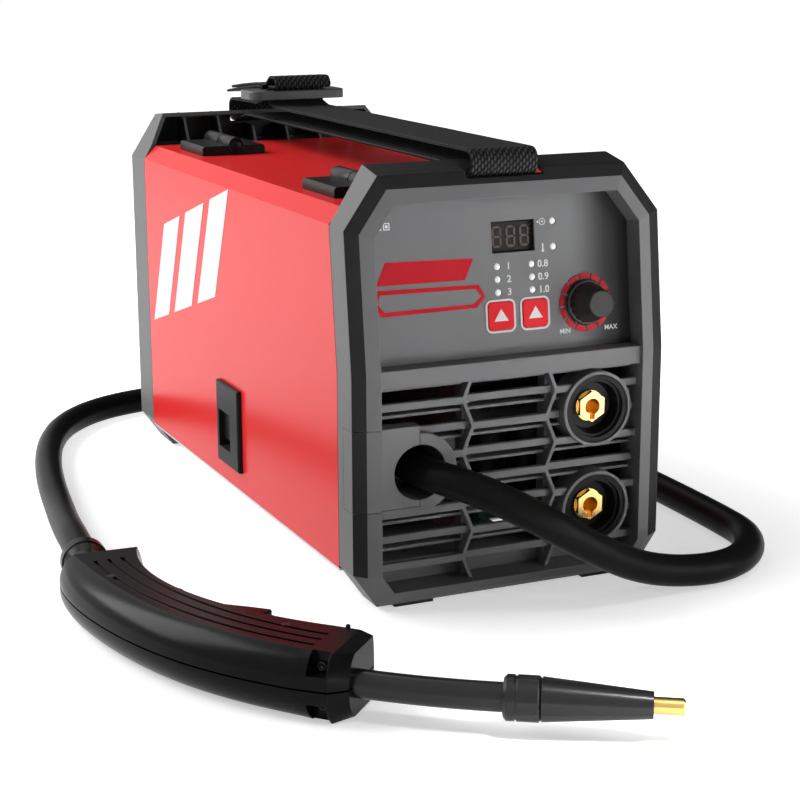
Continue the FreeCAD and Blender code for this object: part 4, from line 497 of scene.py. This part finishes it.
def shadeUnderStrap():
    s = strapShade
    tree, place, shader = nodesOf("rearPlastic")
    mask = groupAt(tree, place, boxMask, {"Low": s["low"], "High": s["high"]})["Mask"]
    split = splitNode(tree, place, "Object")
    depth = mathNode(tree, "MULTIPLY_ADD", split["Z"], -s["slope"], split["Y"])
    behind = mathNode(tree, "GREATER_THAN", depth, s["front"])
    coverTone(tree, mathNode(tree, "MULTIPLY", mask, behind), s["colour"], shader)


# a shallow groove where the handle's two halves meet
seamSettings = {"height": 0.017, "half": 0.00045, "colour": (0.0, 0.0, 0.0),
                "specular": plastics["handleShell"][2]["specular"]}


def markSeam():
    s = seamSettings
    tree, place, shader = nodesOf("handleShell")
    height = splitNode(tree, place, "Object")["Z"]
    away = mathNode(tree, "ABSOLUTE", mathNode(tree, "SUBTRACT", height, s["height"]))
    inside = mathNode(tree, "LESS_THAN", away, s["half"])
    level = mathNode(tree, "MULTIPLY_ADD", inside, -s["specular"], s["specular"])
    tree.links.new(level, shader.inputs["Specular IOR Level"])
    coverTone(tree, inside, s["colour"], shader)


# painted light: the status lamps are unlit, and glow a little so that they look whiter
paintedLampGlow = {"Emission Color": (1, 1, 1, 1), "Emission Strength": 0.4}

shadeUnderStrap()
markSeam()
setSockets(nodesOf("lampWhite")[2], paintedLampGlow)
finishes["panelFace"] = panelMaterial()
finishes["displayBlock"] = displayMaterial()
finishes["smokedWindow"] = windowMaterial()
finishes["webbing"] = webbingMaterial()
print("finishes built:", len(finishes))


dressSettings = {
    "framePlastic": "front_bezel cable_cover", "rearPlastic": "rear_bezel",
    "panelFace": "control_panel", "smokedWindow": "display_window",
    "displayBlock": "display_module", "lampWhite": "indicator_leds",
    "redButton": "mode_button size_button power_rocker", "knobPlastic": "control_knob",
    "steel": "potentiometer feed_motor drive_roll pressure_roll", "boardDark": "control_board",
    "blackPlastic": "socket_upper socket_lower cable_gland fan_frame fan_rotor switch_housing "
                    "power_gland latch_paddle wire_spool spool_spindle spool_nut pressure_arm "
                    "tension_screw capacitors trigger_switch",
    "brass": "contact_upper contact_lower torch_adapter", "casePaint": "main_cover side_door",
    "zincSheet": "base_tray divider_plate", "hingePaint": "fixed_leaves door_leaves hinge_pins",
    "darkPlasticAndPaintedShade": "latch_plate", "footRubber": "foot_pads", "fillerWire": "welding_wire",
    "aluminium": "feed_body heatsinks", "boardGreen": "power_board",
    "ferriteCore": "transformer", "webbing": "strap_webbing", "sliderPlastic": "strap_slider",
    "leadRubber": "torch_cable", "handlePlastic": "torch_collar torch_trigger",
    "handleShell": "handle_upper handle_lower",
    "torchMetal": "torch_neck nozzle_base torch_nozzle", "copperTip": "contact_tip",
    "blackOxide": "torch_screws",
}
paintedShadeFacets = {"nodes": ("front_bezel", "cable_cover"), "slope": (-0.945, -0.88),
                 "lowest": -0.33, "flat": 0.9, "topFrom": 0.228}
insideSettings = {"node": "main_cover", "middle": 0.11, "inward": -0.01}


def dressFrame():
    for finish, names in dressSettings.items():
        for name in names.split():
            mesh = nodes[name].data
            mesh.materials.clear()
            mesh.materials.append(finishes[finish])


def dressFaces(name, finish, chosen):
    mesh = nodes[name].data
    mesh.materials.append(finishes[finish])
    for face in mesh.polygons:
        if chosen(face):
            face.material_index = 1


def getsPaintedShade(face):
    # painted shade: the slope round the front frame, save where it faces down, and the frame's top
    s = paintedShadeFacets
    upright = Matrix.Rotation(panelLean, 3, "X")
    normal = upright @ face.normal if face.center.z > panelKink else face.normal
    slope = s["slope"][0] < normal.y < s["slope"][1] and normal.z > s["lowest"]
    return slope or (face.normal.z > s["flat"] and face.center.z > s["topFrom"])


def isInside(face):
    s = insideSettings
    rise = face.center.z - s["middle"]
    return face.normal.x * face.center.x + face.normal.z * rise < s["inward"]


dressFrame()
# the front frame's slope and top get the darker plastic as painted shade
for name in paintedShadeFacets["nodes"]:
    dressFaces(name, "darkPlasticAndPaintedShade", getsPaintedShade)
# the cover's inward-facing faces get the dark hinge paint
dressFaces(insideSettings["node"], "hingePaint", isInside)
print("frame dressed")


def deselectAll():
    bpy.ops.object.select_all(action="DESELECT")


def give(piece, finish, body):
    piece.data.materials.clear()
    piece.data.materials.append(finishes[finish])
    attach(piece, body)


# torch lead, along the same points as the solid
leadSettings = {
    "radius": 0.009, "length": 1.354, "order": 3, "steps": 12, "round": 8,
    "points": (
        (-0.0555, -0.16575, 0.075), (-0.0555, -0.20025, 0.075), (-0.0375, -0.23025, 0.072),
        (-0.0105, -0.24875, 0.058), (0.022, -0.24925, 0.037), (0.053, -0.24325, 0.020),
        (0.083, -0.23875, 0.011), (0.115, -0.23825, 0.009), (0.1429, -0.22245, 0.009),
        (0.1598, -0.19575, 0.009), (0.1628, -0.16175, 0.009), (0.1643, -0.11575, 0.009),
        (0.165, -0.05375, 0.009), (0.1638, 0.02125, 0.009), (0.158, 0.09625, 0.009),
        (0.144, 0.16325, 0.009), (0.115, 0.21925, 0.009), (0.068, 0.25925, 0.009),
        (0.008, 0.28025, 0.009), (-0.055, 0.28275, 0.009), (-0.107, 0.26675, 0.009),
        (-0.143, 0.23125, 0.009), (-0.165, 0.18525, 0.009), (-0.180, 0.13125, 0.009),
        (-0.1905, 0.07625, 0.009), (-0.198, 0.02325, 0.0092), (-0.2055, -0.02275, 0.013),
        (-0.2105, -0.06343, 0.017), (-0.21435, -0.09721, 0.017)),
    "torch": ("torch_collar", "handle_upper", "handle_lower", "torch_trigger", "trigger_switch",
              "torch_neck", "nozzle_base", "torch_nozzle", "contact_tip", "torch_screws"),
}


def buildLead():
    s = leadSettings
    deselectAll()
    curve = bpy.data.curves.new("torchLead", "CURVE")
    curve.dimensions = "3D"
    line = curve.splines.new("NURBS")
    line.points.add(len(s["points"]) - 1)
    for point, place in zip(line.points, s["points"]):
        point.co = (*place, 1.0)
    line.order_u = s["order"]
    line.use_endpoint_u = True
    line.resolution_u = curve.resolution_u = s["steps"]
    curve.bevel_depth = s["radius"]
    curve.bevel_resolution = s["round"]
    curve.use_fill_caps = True
    lead = bpy.data.objects.new("torchLead", curve)
    bpy.context.scene.collection.objects.link(lead)
    give(lead, "leadRubber", "case")
    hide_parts("torch_cable")


buildLead()
print("torch lead laid")


# strap webbing: one loop through both end frames, with two tails behind the slider
# each corner of the route: a place along, a height, and the fold's radius in millimetres
strapSettings = {
    "width": 0.040, "thick": 0.0018, "low": 0.2296, "high": 0.2426, "rest": 0.2283,
    "front": -0.18735, "rear": 0.20315, "slider": 0.128, "slot": 0.006, "sliderZ": 0.2475,
    "sliderThick": 0.006, "across": 18, "corners": 4, "step": 0.0016, "sink": 0.0019,
    "route": (("front", 0, "high", 0, 6.3), ("front", 0, "rest", 0, 6.3),
              ("front", 0.016, "rest", 0, 14), ("front", 0.040, "low", 0.004, 20),
              ("far", 0.034, "low", 0.004, 20), ("rear", -0.014, "rest", 0, 14),
              ("rear", 0, "rest", 0, 6.3), ("rear", 0, "high", 0, 6.3),
              ("far", 0.012, "high", 0.0008, 6), ("far", 0, "under", 0, 1.6),
              ("far", 0, "above", 0.003, 1.6), ("near", 0.0035, "above", 0.0041, 6),
              ("near", -0.0035, "above", 0.0089, 4), ("near", -0.0115, "above", 0.0091, 4),
              ("near", -0.016, "above", 0.0028, 1.8), ("near", 0, "above", 0.0022, 1.6),
              ("near", 0, "under", 0, 1.6), ("near", -0.012, "high", 0.0002, 8)),
    "tails": (("strapTailLower", ((-0.001, 0), (0.012, 0), (0.045, -0.0035), (0.072, -0.007))),
              ("strapTailUpper", ((-0.001, 0.0019), (0.012, 0.0018), (0.040, -0.0008),
                                  (0.062, -0.0034)))),
    "tailGap": 0.0003, "tailFold": 0.02,
    "sway": ((0.00018, 61, 0), (0.00012, 143, 1)), "ripple": (0.05, 900),
}


def strapRoute():
    s = strapSettings
    marks = {**s, "near": s["slider"] - s["slot"], "far": s["slider"] + s["slot"],
             "under": s["sliderZ"] - s["sink"], "above": s["sliderZ"] + s["sliderThick"]}
    points = [(marks[along] + on, marks[level] + up) for along, on, level, up, r in s["route"]]
    return points, [r / 1000 for along, on, level, up, r in s["route"]]


def foldedLine(points, radii, step, closed):
    # even steps along straight stretches and round each fold
    arcStep, runStep = step * 0.6, step * 2.5
    line = []
    count = len(points)
    for i, point in enumerate(points):
        here = Vector(point)
        if not closed and i in (0, count - 1):
            line.append(here)
            continue
        back = (Vector(points[i - 1]) - here).normalized()
        on = (Vector(points[(i + 1) % count]) - here).normalized()
        half = math.acos(max(-1.0, min(1.0, back.dot(on)))) / 2
        cut = radii[i] / math.tan(half)
        middle = here + (back + on).normalized() * (radii[i] / math.sin(half))
        first, last = here + back * cut - middle, here + on * cut - middle
        sweep = first.angle_signed(last)
        pieces = max(3, int(abs(sweep) * radii[i] / arcStep))
        for k in range(pieces + 1):
            turn = Matrix.Rotation(-sweep * k / pieces, 2)
            line.append(middle + turn @ first)
    filled = []
    total = len(line)
    for i in range(total if closed else total - 1):
        a, b = line[i], line[(i + 1) % total]
        gap = (b - a).length
        if gap < 1e-7:
            continue
        pieces = max(1, int(gap / runStep))
        filled += [a.lerp(b, k / pieces) for k in range(pieces)]
    if not closed:
        filled.append(line[-1])
    return filled


def webbingBand(name, line, closed):
    s = strapSettings
    half, flat = s["width"] / 2, s["thick"] / 2
    profile = []
    for side in (1, -1):
        for i in range(s["across"] + 1):
            x = (half - flat) * (1 - 2 * i / s["across"]) * side
            profile.append((x, flat * side))
        for k in range(1, s["corners"]):
            a = math.pi * k / s["corners"]
            reach = (half - flat) + flat * math.sin(a)
            profile.append((-side * reach, side * flat * math.cos(a)))
    mesh = bpy.data.meshes.new(name)
    maker = bmesh.new()
    rings, travelled, run = [], [], 0.0
    count = len(line)
    for i, place in enumerate(line):
        before = line[i - 1] if closed or i else line[0]
        after = line[(i + 1) % count] if closed or i < count - 1 else line[-1]
        ahead = (after - before).normalized()
        out = Vector((-ahead.y, ahead.x))
        if i:
            run += (place - line[i - 1]).length
        travelled.append(run)
        sway = sum(size * math.sin(run * rate + shift) for size, rate, shift in s["sway"])
        ring = []
        for x, lift in profile:
            edge = 1 + s["ripple"][0] * math.sin(x * s["ripple"][1])
            spot = place + out * lift * edge
            ring.append(maker.verts.new((x + sway, spot.x, spot.y)))
        rings.append(ring)
    uv = maker.loops.layers.uv.new("weave")
    size = len(profile)
    widths = [0.0]
    for a, b in zip(profile, profile[1:] + profile[:1]):
        widths.append(widths[-1] + math.hypot(a[0] - b[0], a[1] - b[1]))
    for i in range(count if closed else count - 1):
        here, there = rings[i], rings[(i + 1) % count]
        far = travelled[i + 1] if i + 1 < count else run + (line[0] - line[-1]).length
        for k in range(size):
            face = maker.faces.new((here[k], here[(k + 1) % size], there[(k + 1) % size],
                                    there[k]))
            face.smooth = True
            spots = ((widths[k], travelled[i]), (widths[k + 1], travelled[i]),
                     (widths[k + 1], far), (widths[k], far))
            for loop, spot in zip(face.loops, spots):
                loop[uv].uv = spot
    if not closed:
        maker.faces.new(rings[0])
        maker.faces.new(list(reversed(rings[-1])))
    bmesh.ops.recalc_face_normals(maker, faces=maker.faces)
    maker.to_mesh(mesh)
    maker.free()
    band = bpy.data.objects.new(name, mesh)
    bpy.context.scene.collection.objects.link(band)
    give(band, "webbing", "case")
    return band


def buildStrap():
    s = strapSettings
    points, radii = strapRoute()
    loop = webbingBand("strapLoop", foldedLine(points, radii, s["step"], True), True)
    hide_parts("strap_webbing")
    y = s["slider"] + s["slot"]
    z = s["sliderZ"] + s["sliderThick"] + s["tailGap"] + s["thick"] / 2
    for name, tail in s["tails"]:
        points = [(y + on, z + up) for on, up in tail]
        radii = [s["tailFold"]] * len(points)
        webbingBand(name, foldedLine(points, radii, s["step"], False), False)


buildStrap()
print("strap threaded")


# printed marks on the leaning panel
panelDepth = 0.008
printSettings = {"lift": 0.00012, "thick": 0.00012, "letter": 1.42, "bold": 0.022, "curve": 4}


def panelSpot(x, z, lift=0.0):
    rise, depth = z - panelKink, panelDepth - lift
    return Vector((x, panelFront + depth * math.cos(panelLean) + rise * math.sin(panelLean),
                   panelKink - depth * math.sin(panelLean) + rise * math.cos(panelLean)))


def faceTurn(across, up):
    # turns a piece made in the XY plane so that it faces away from a wall
    across, up = Vector(across), Vector(up)
    return Matrix((across, up, across.cross(up))).transposed().to_4x4()


def panelTurn():
    return faceTurn((1, 0, 0), (0, math.sin(panelLean), math.cos(panelLean)))


def fixPlace(piece):
    piece.select_set(True)
    bpy.context.view_layer.objects.active = piece
    bpy.ops.object.transform_apply(location=True, rotation=True, scale=True)


def layOnPanel(piece, x, z, lift):
    piece.matrix_world = Matrix.Translation(panelSpot(x, z, lift)) @ panelTurn()
    fixPlace(piece)
    deselectAll()


def flatShape(name, outline, thick, holes=()):
    # a thin printed or cut shape in the XY plane, its face towards +Z; the plane is replaced
    deselectAll()
    bpy.ops.mesh.primitive_plane_add(size=0.001)
    piece = bpy.context.object
    piece.name = name
    piece.data.name = name
    maker = bmesh.new()
    edges = []
    for loop in (outline, *holes):
        verts = [maker.verts.new((x, y, 0)) for x, y in loop]
        edges += [maker.edges.new((verts[i], verts[(i + 1) % len(verts)]))
                  for i in range(len(verts))]
    bmesh.ops.triangle_fill(maker, use_beauty=True, edges=edges)
    for face in maker.faces:
        if face.normal.z < 0:
            face.normal_flip()
    maker.to_mesh(piece.data)
    maker.free()
    solid = piece.modifiers.new("body", "SOLIDIFY")
    solid.thickness, solid.offset = thick, 1.0
    bpy.ops.object.modifier_apply(modifier="body")
    return piece


def ringPoints(x, z, radius, count=48):
    return [(x + radius * math.cos(2 * math.pi * i / count),
             z + radius * math.sin(2 * math.pi * i / count)) for i in range(count)]


def rectangle(x, z):
    return [(-x, -z), (x, -z), (x, z), (-x, z)]


def printText(name, words, x, z, height):
    s = printSettings
    deselectAll()
    bpy.ops.object.text_add()
    piece = bpy.context.object
    piece.data.body = words
    piece.data.size = height * s["letter"]
    piece.data.align_x, piece.data.align_y = "CENTER", "CENTER"
    piece.data.extrude = s["thick"] / 2
    piece.data.resolution_u = s["curve"]
    piece.data.offset = height * s["bold"]
    bpy.ops.object.convert(target="MESH")
    piece = bpy.context.object
    piece.name = name
    layOnPanel(piece, x, z, s["lift"])
    give(piece, "printWhite", "case")


def printShape(name, outline, x, z, finish="printWhite", slot="lamp", body="case", lift=None,
               holes=()):
    s = printSettings
    piece = flatShape(name, outline, s["thick"], holes)
    layOnPanel(piece, x, z, s["lift"] / 2 if lift is None else lift)
    give(piece, finish, body)


panelPrints = {
    "numbers": (
        ("sizeNumberTop", "0.8", 0.0252, 0.1807), ("sizeNumberMiddle", "0.9", 0.0253, 0.1737),
        ("sizeNumberLow", "1.0", 0.0254, 0.1667), ("modeNumberTop", "1", 0.0042, 0.1808),
        ("modeNumberMiddle", "2", 0.0043, 0.1738), ("modeNumberLow", "3", 0.0044, 0.1668)),
    "dialEnds": (("dialLow", "MIN", 0.0375, 0.1425), ("dialHigh", "MAX", 0.0664, 0.1425)),
    "numberHeight": 0.0038, "endHeight": 0.0027,
    "arrow": ((-0.0043, -0.003), (0.0043, -0.003), (0, 0.0036)), "arrowLift": 0.00105,
    "arrowZ": 0.1545, "buttons": (("mode", -0.0018, "mode_key"), ("size", 0.0192, "size_key")),
    "stem": ((-0.0004, -0.001), (0.0004, -0.001), (0.0004, 0.0024), (-0.0004, 0.0024)),
    "stemPlace": (0.0256, 0.1893), "bulb": 0.00085, "bulbPlace": (0.0256, 0.1878),
    "ring": (0.0019, 0.0015), "hub": 0.0006, "ringPlace": (0.0257, 0.2035), "sides": 24,
    "tip": ((-0.0011, 0), (0, -0.0008), (0, 0.0008)), "tipPlace": (0.0233, 0.2035),
    "corners": (("cornerFrameLeft", -0.0712), ("cornerFrameRight", -0.0664)), "cornerZ": 0.2065,
    "cornerSize": (0.0018, 0.0019), "cornerHole": (0.72, 0.74), "cornerCore": (0.0007, 0.0008),
    "field": ((-0.0741, 0.1756), (-0.0222, 0.1751), (-0.0166, 0.1865), (-0.0683, 0.1878)),
    "border": ((-0.0758, 0.1664), (-0.0743, 0.1734), (-0.0141, 0.1722), (-0.0105, 0.1655),
               (-0.0158, 0.1597), (-0.0719, 0.1592)), "borderHole": (0.93, 0.64),
}


def shrunk(outline, shares):
    middle = [sum(values) / len(outline) for values in zip(*outline)]
    return [tuple(m + (v - m) * share for v, m, share in zip(point, middle, shares))
            for point in outline]


def buildPanelPrints():
    s = panelPrints
    for name, words, x, z in s["numbers"]:
        printText(name, words, x, z, s["numberHeight"])
    for name, words, x, z in s["dialEnds"]:
        printText(name, words, x, z, s["endHeight"])
    for name, x, body in s["buttons"]:
        printShape(name + "Arrow", s["arrow"], x, s["arrowZ"], body=body, lift=s["arrowLift"])
    # a thermometer and a round arrow beside the two status lamps
    outer, inner = (ringPoints(0, 0, radius) for radius in s["ring"])
    printShape("heatStem", s["stem"], *s["stemPlace"])
    printShape("heatBulb", ringPoints(0, 0, s["bulb"], s["sides"]), *s["bulbPlace"])
    printShape("fanRing", outer, *s["ringPlace"], holes=(inner,))
    printShape("fanHub", ringPoints(0, 0, s["hub"], s["sides"]), *s["ringPlace"])
    printShape("fanArrow", s["tip"], *s["tipPlace"])
    # two small frames at the panel's corner
    for name, x in s["corners"]:
        outer = rectangle(*s["cornerSize"])
        printShape(name, outer, x, s["cornerZ"], holes=(shrunk(outer, s["cornerHole"]),))
        printShape(name + "Core", rectangle(*s["cornerCore"]), x, s["cornerZ"])
    # plain coloured fields on the left of the panel
    printShape("redField", s["field"], 0, 0, "printRed", "red_plastic")
    printShape("redBorder", s["border"], 0, 0, "printRed", "red_plastic",
               holes=(shrunk(s["border"], s["borderHole"]),))


buildPanelPrints()
print("panel printed")


# slanted bars on the door, one behind the other on a rising line
stripeSettings = {"side": -0.094, "lift": 0.00005, "thick": 0.0001, "height": 0.062,
                  "lean": 0.5, "rise": 0.29, "start": (0.157, 0.096),
                  "bars": ((0.157, 0.122), (0.109, 0.071), (0.058, 0.022))}


def buildStripes():
    s = stripeSettings
    for i, (rear, front) in enumerate(s["bars"]):
        feet = [(-y, s["start"][1] + (s["start"][0] - y) * s["rise"]) for y in (rear, front)]
        shift = s["height"] * s["lean"]
        heads = [(x + shift, z + s["height"] + shift * s["rise"]) for x, z in reversed(feet)]
        stripe = flatShape(f"doorStripe{i + 1}", feet + heads, s["thick"])
        turn = faceTurn((0, -1, 0), (0, 0, 1))
        stripe.matrix_world = Matrix.Translation((s["side"] - s["lift"], 0, 0)) @ turn
        fixPlace(stripe)
        give(stripe, "printWhite", "door")


buildStripes()
print("door striped")


# small turned pieces: picking faces by the way they look, then insets and extrusions on them
turnedSettings = {"facing": 0.9, "smoothBelow": math.radians(32)}


def pickFaces(piece, direction):
    bpy.ops.object.mode_set(mode="EDIT")
    bpy.ops.mesh.select_mode(type="FACE")
    bpy.ops.mesh.select_all(action="DESELECT")
    bpy.ops.object.mode_set(mode="OBJECT")
    for face in piece.data.polygons:
        face.select = face.normal.dot(Vector(direction)) > turnedSettings["facing"]
    bpy.ops.object.mode_set(mode="EDIT")


def insetAndMove(rim, move):
    bpy.ops.mesh.inset(thickness=rim, depth=0.0)
    bpy.ops.mesh.extrude_region_move(TRANSFORM_OT_translate={"value": tuple(move)})


def turnedPiece(name, place, axis, radius, length, count=48):
    # a cylinder with its middle at a place and its axis along a direction
    deselectAll()
    turn = Vector(axis).to_track_quat("Z", "Y").to_euler()
    bpy.ops.mesh.primitive_cylinder_add(vertices=count, radius=radius, depth=length,
                                        location=place, rotation=turn)
    piece = bpy.context.object
    piece.name = name
    piece.data.name = name
    bpy.ops.object.transform_apply(location=True, rotation=True, scale=True)
    return piece


def softenEdges(piece, width, levels=2):
    bpy.ops.object.mode_set(mode="OBJECT")
    edges = piece.modifiers.new("edges", "BEVEL")
    edges.width, edges.segments, edges.limit_method = width, levels, "ANGLE"
    bpy.ops.object.modifier_apply(modifier="edges")
    bpy.ops.object.shade_smooth_by_angle(angle=turnedSettings["smoothBelow"])


# round hinge barrels over the knuckles
barrelSettings = {"x": -0.054, "z": 0.221, "radius": 0.0054, "starts": (-0.1365, 0.091),
                  "length": 0.048, "underrun": 0.0006, "overrun": 0.003, "gap": 0.0004,
                  "rims": ((0.0012, -0.0007), (0.0009, 0.0007)), "edge": 0.00035}


def buildBarrels():
    s = barrelSettings
    for i, start in enumerate(s["starts"]):
        middle, last = start + s["length"] / 2, start + s["length"] + s["overrun"]
        halves = (("Door", start - s["underrun"], middle - s["gap"], "door"),
                  ("Case", middle + s["gap"], last, "case"))
        for label, y0, y1, body in halves:
            barrel = turnedPiece(f"hingeBarrel{label}{i + 1}", (s["x"], (y0 + y1) / 2, s["z"]),
                                 (0, 1, 0), s["radius"], y1 - y0)
            for side in (-1, 1):
                pickFaces(barrel, (0, side, 0))
                for rim, move in s["rims"]:
                    insetAndMove(rim, (0, side * move, 0))
            softenEdges(barrel, s["edge"])
            give(barrel, "hingePaint", body)


buildBarrels()
print("hinge barrels turned")


# toothed ring and grey rim at the foot of the knob
skirtSettings = {"x": 0.0507, "z": 0.1576, "outer": 0.0128, "inner": 0.0122, "hole": 0.0095,
                 "teeth": 44, "thick": 0.0006, "teethLift": 0.0007, "rim": 0.0121,
                 "rimHeight": 0.0026, "rimLift": 0.0009, "sides": 64, "inset": 0.0011,
                 "sink": 0.0008, "edge": 0.0009}


def buildSkirt():
    s = skirtSettings
    count = s["teeth"] * 4
    outline = []
    for i in range(count):
        reach = s["outer"] if i % 4 < 2 else s["inner"]
        angle = 2 * math.pi * i / count
        outline.append((reach * math.cos(angle), reach * math.sin(angle)))
    ring = flatShape("knobTeeth", outline, s["thick"], (ringPoints(0, 0, s["hole"]),))
    layOnPanel(ring, s["x"], s["z"], s["teethLift"] + s["thick"])
    give(ring, "blackPlastic", "knob")
    away = panelTurn().to_3x3() @ Vector((0, 0, 1))
    foot = panelSpot(s["x"], s["z"], s["rimLift"] + s["rimHeight"] / 2)
    rim = turnedPiece("knobRim", foot, away, s["rim"], s["rimHeight"], s["sides"])
    pickFaces(rim, away)
    insetAndMove(s["inset"], -away * s["sink"])
    softenEdges(rim, s["edge"], 3)
    give(rim, "knobRimGrey", "knob")


buildSkirt()
print("knob skirt cut")


# screws in the torch's side recesses, and the pin on its nose
torchBits = {"centre": (0.0253, -0.14815, 0.017),
             "screws": (("recessScrewUpper", 222.9, 0.2528, 0.0096),
                        ("recessScrewLower", 222.9, 0.2528, -0.0096)),
             "screw": {"radius": 0.0024, "length": 0.0022, "count": 32},
             "socket": (0.0009, -0.001), "screwEdge": 0.0003,
             "pin": (222.4, 0.2205, 0.0166),
             "pinSize": {"radius": 0.0012, "length": 0.0026, "count": 24},
             "pinHead": (0.0004, 0.0004), "pinEdge": 0.0002,
             "pad": ((199.5, 0.2150), (204.5, 0.2058), (206.9, 0.2026), (207.4, 0.2042),
                     (207.4, 0.2150)), "padHeights": (0.004, 0.0096), "padEdge": 0.0008}


def torchSpot(angle, reach, lift):
    x, y, z = torchBits["centre"]
    angle = math.radians(angle)
    return Vector((x + reach * math.cos(angle), y + reach * math.sin(angle), z + lift))


def buildTorchBits():
    s = torchBits
    for name, angle, reach, lift in s["screws"]:
        out = (torchSpot(angle, 1, 0) - torchSpot(angle, 0, 0)).normalized()
        screw = turnedPiece(name, torchSpot(angle, reach, lift), out, **s["screw"])
        pickFaces(screw, out)
        insetAndMove(s["socket"][0], out * s["socket"][1])
        softenEdges(screw, s["screwEdge"])
        give(screw, "blackOxide", "case")
    up = Vector((0, 0, 1))
    pin = turnedPiece("nosePin", torchSpot(*s["pin"]), up, **s["pinSize"])
    pickFaces(pin, up)
    insetAndMove(s["pinHead"][0], up * s["pinHead"][1])
    softenEdges(pin, s["pinEdge"])
    give(pin, "handlePlastic", "case")
    low, high = s["padHeights"]
    outline = [tuple(torchSpot(angle, reach, 0).xy) for angle, reach in s["pad"]]
    pad = flatShape("triggerPad", outline, high - low)
    pad.location = (0, 0, s["centre"][2] + low)
    fixPlace(pad)
    softenEdges(pad, s["padEdge"], 3)
    give(pad, "handlePlastic", "trigger")


buildTorchBits()
print("torch bits placed")


# floor, backdrop and lights
lightSettings = {
    "left": {"place": (-1.3, 0.8, 1.2), "aim": (0, 0, 0.12), "size": 1.3, "power": 40.0},
    "front": {"place": (1.1, -1.3, 0.3), "aim": (0, -0.1, 0.1), "size": 0.9, "power": 15.0},
    "bounce": {"place": (0.15, -0.8, 1.0), "aim": (0.15, -0.75, 0), "size": 0.3, "power": 8.5,
               "spread": 45.0},
    "top": {"place": (0.0, 0.75, 1.2), "aim": (0, 0, 0.2), "size": 0.8, "power": 2.0},
}
worldSettings = {"level": 0.1, "dusk": (0.0, 0.3, 1.0, 0.04)}
floorSettings = {"size": 8.0, "plain": {"Base Color": (0.8, 0.8, 0.8, 1), "Roughness": 0.5,
                                        "Specular IOR Level": 0.2},
                 "torch": (-0.12, -0.15, 0.0), "glow": (0.24, 0.52, 0.5, 1.0)}


def addLight(name, place, aim, size, power, spread=180.0):
    bpy.ops.object.light_add(type="AREA", location=place)
    lamp = bpy.context.object
    lamp.name = name
    lamp.rotation_euler = (Vector(aim) - Vector(place)).to_track_quat("-Z", "Y").to_euler()
    lamp.data.size = size
    lamp.data.energy = power
    lamp.data.spread = math.radians(spread)


def mixByRays(tree, kinds, first, second, target):
    # the second shader for the kinds of ray named, the first one for all others
    rays = tree.nodes.new("ShaderNodeLightPath")
    seen = rays.outputs[kinds[0]]
    for kind in kinds[1:]:
        seen = mathNode(tree, "MAXIMUM", seen, rays.outputs[kind])
    mix = tree.nodes.new("ShaderNodeMixShader")
    for socket, source in (("Fac", seen), (1, first), (2, second)):
        tree.links.new(source, mix.inputs[socket])
    link(tree, mix, "Shader", target, "Surface")


def buildWorld():
    s = worldSettings
    world = bpy.data.worlds.new("studio")
    bpy.context.scene.world = world
    world.use_nodes = True
    tree = world.node_tree
    tree.nodes.clear()
    out = tree.nodes.new("ShaderNodeOutputWorld")
    soft, white = (addNode(tree, "ShaderNodeBackground", {"Color": (1, 1, 1, 1), "Strength": level})
                   for level in (s["level"], 1.0))
    # reflections find the right side of the room dark
    across = splitNode(tree, addNode(tree, "ShaderNodeTexCoord"), "Generated")["X"]
    rays = tree.nodes.new("ShaderNodeLightPath")
    level = addNode(tree, "ShaderNodeMix", {"A": 1.0})
    link(tree, rays, "Is Glossy Ray", level, "Factor")
    tree.links.new(rangeNode(tree, across, *s["dusk"]), level.inputs["B"])
    link(tree, level, "Result", white, "Strength")
    mixByRays(tree, ("Is Camera Ray", "Is Glossy Ray", "Is Transmission Ray"),
              soft.outputs["Background"], white.outputs["Background"], out)


def buildFloor():
    s = floorSettings
    deselectAll()
    bpy.ops.mesh.primitive_plane_add(size=s["size"], location=(0, 0, 0))
    floor = bpy.context.object
    floor.name = "floor"
    material, tree, shader, place = startMaterial("paleFloor", s["plain"])
    # the floor glows to the camera and in reflections, more so away from the torch
    reach = addNode(tree, "ShaderNodeVectorMath", {1: s["torch"]}, operation="DISTANCE")
    link(tree, place, "Object", reach, 0)
    glow = addNode(tree, "ShaderNodeEmission", {"Color": (1, 1, 1, 1)})
    tree.links.new(rangeNode(tree, reach.outputs["Value"], *s["glow"]), glow.inputs["Strength"])
    both = tree.nodes.new("ShaderNodeAddShader")
    link(tree, shader, "BSDF", both, 0)
    link(tree, glow, "Emission", both, 1)
    mixByRays(tree, ("Is Camera Ray", "Is Glossy Ray"), shader.outputs["BSDF"],
              both.outputs["Shader"], tree.nodes["Material Output"])
    floor.data.materials.append(material)


for name, values in lightSettings.items():
    addLight(name + "Light", **values)
buildWorld()
buildFloor()
bpy.context.scene.view_settings.view_transform = "Standard"
print("stage lit")
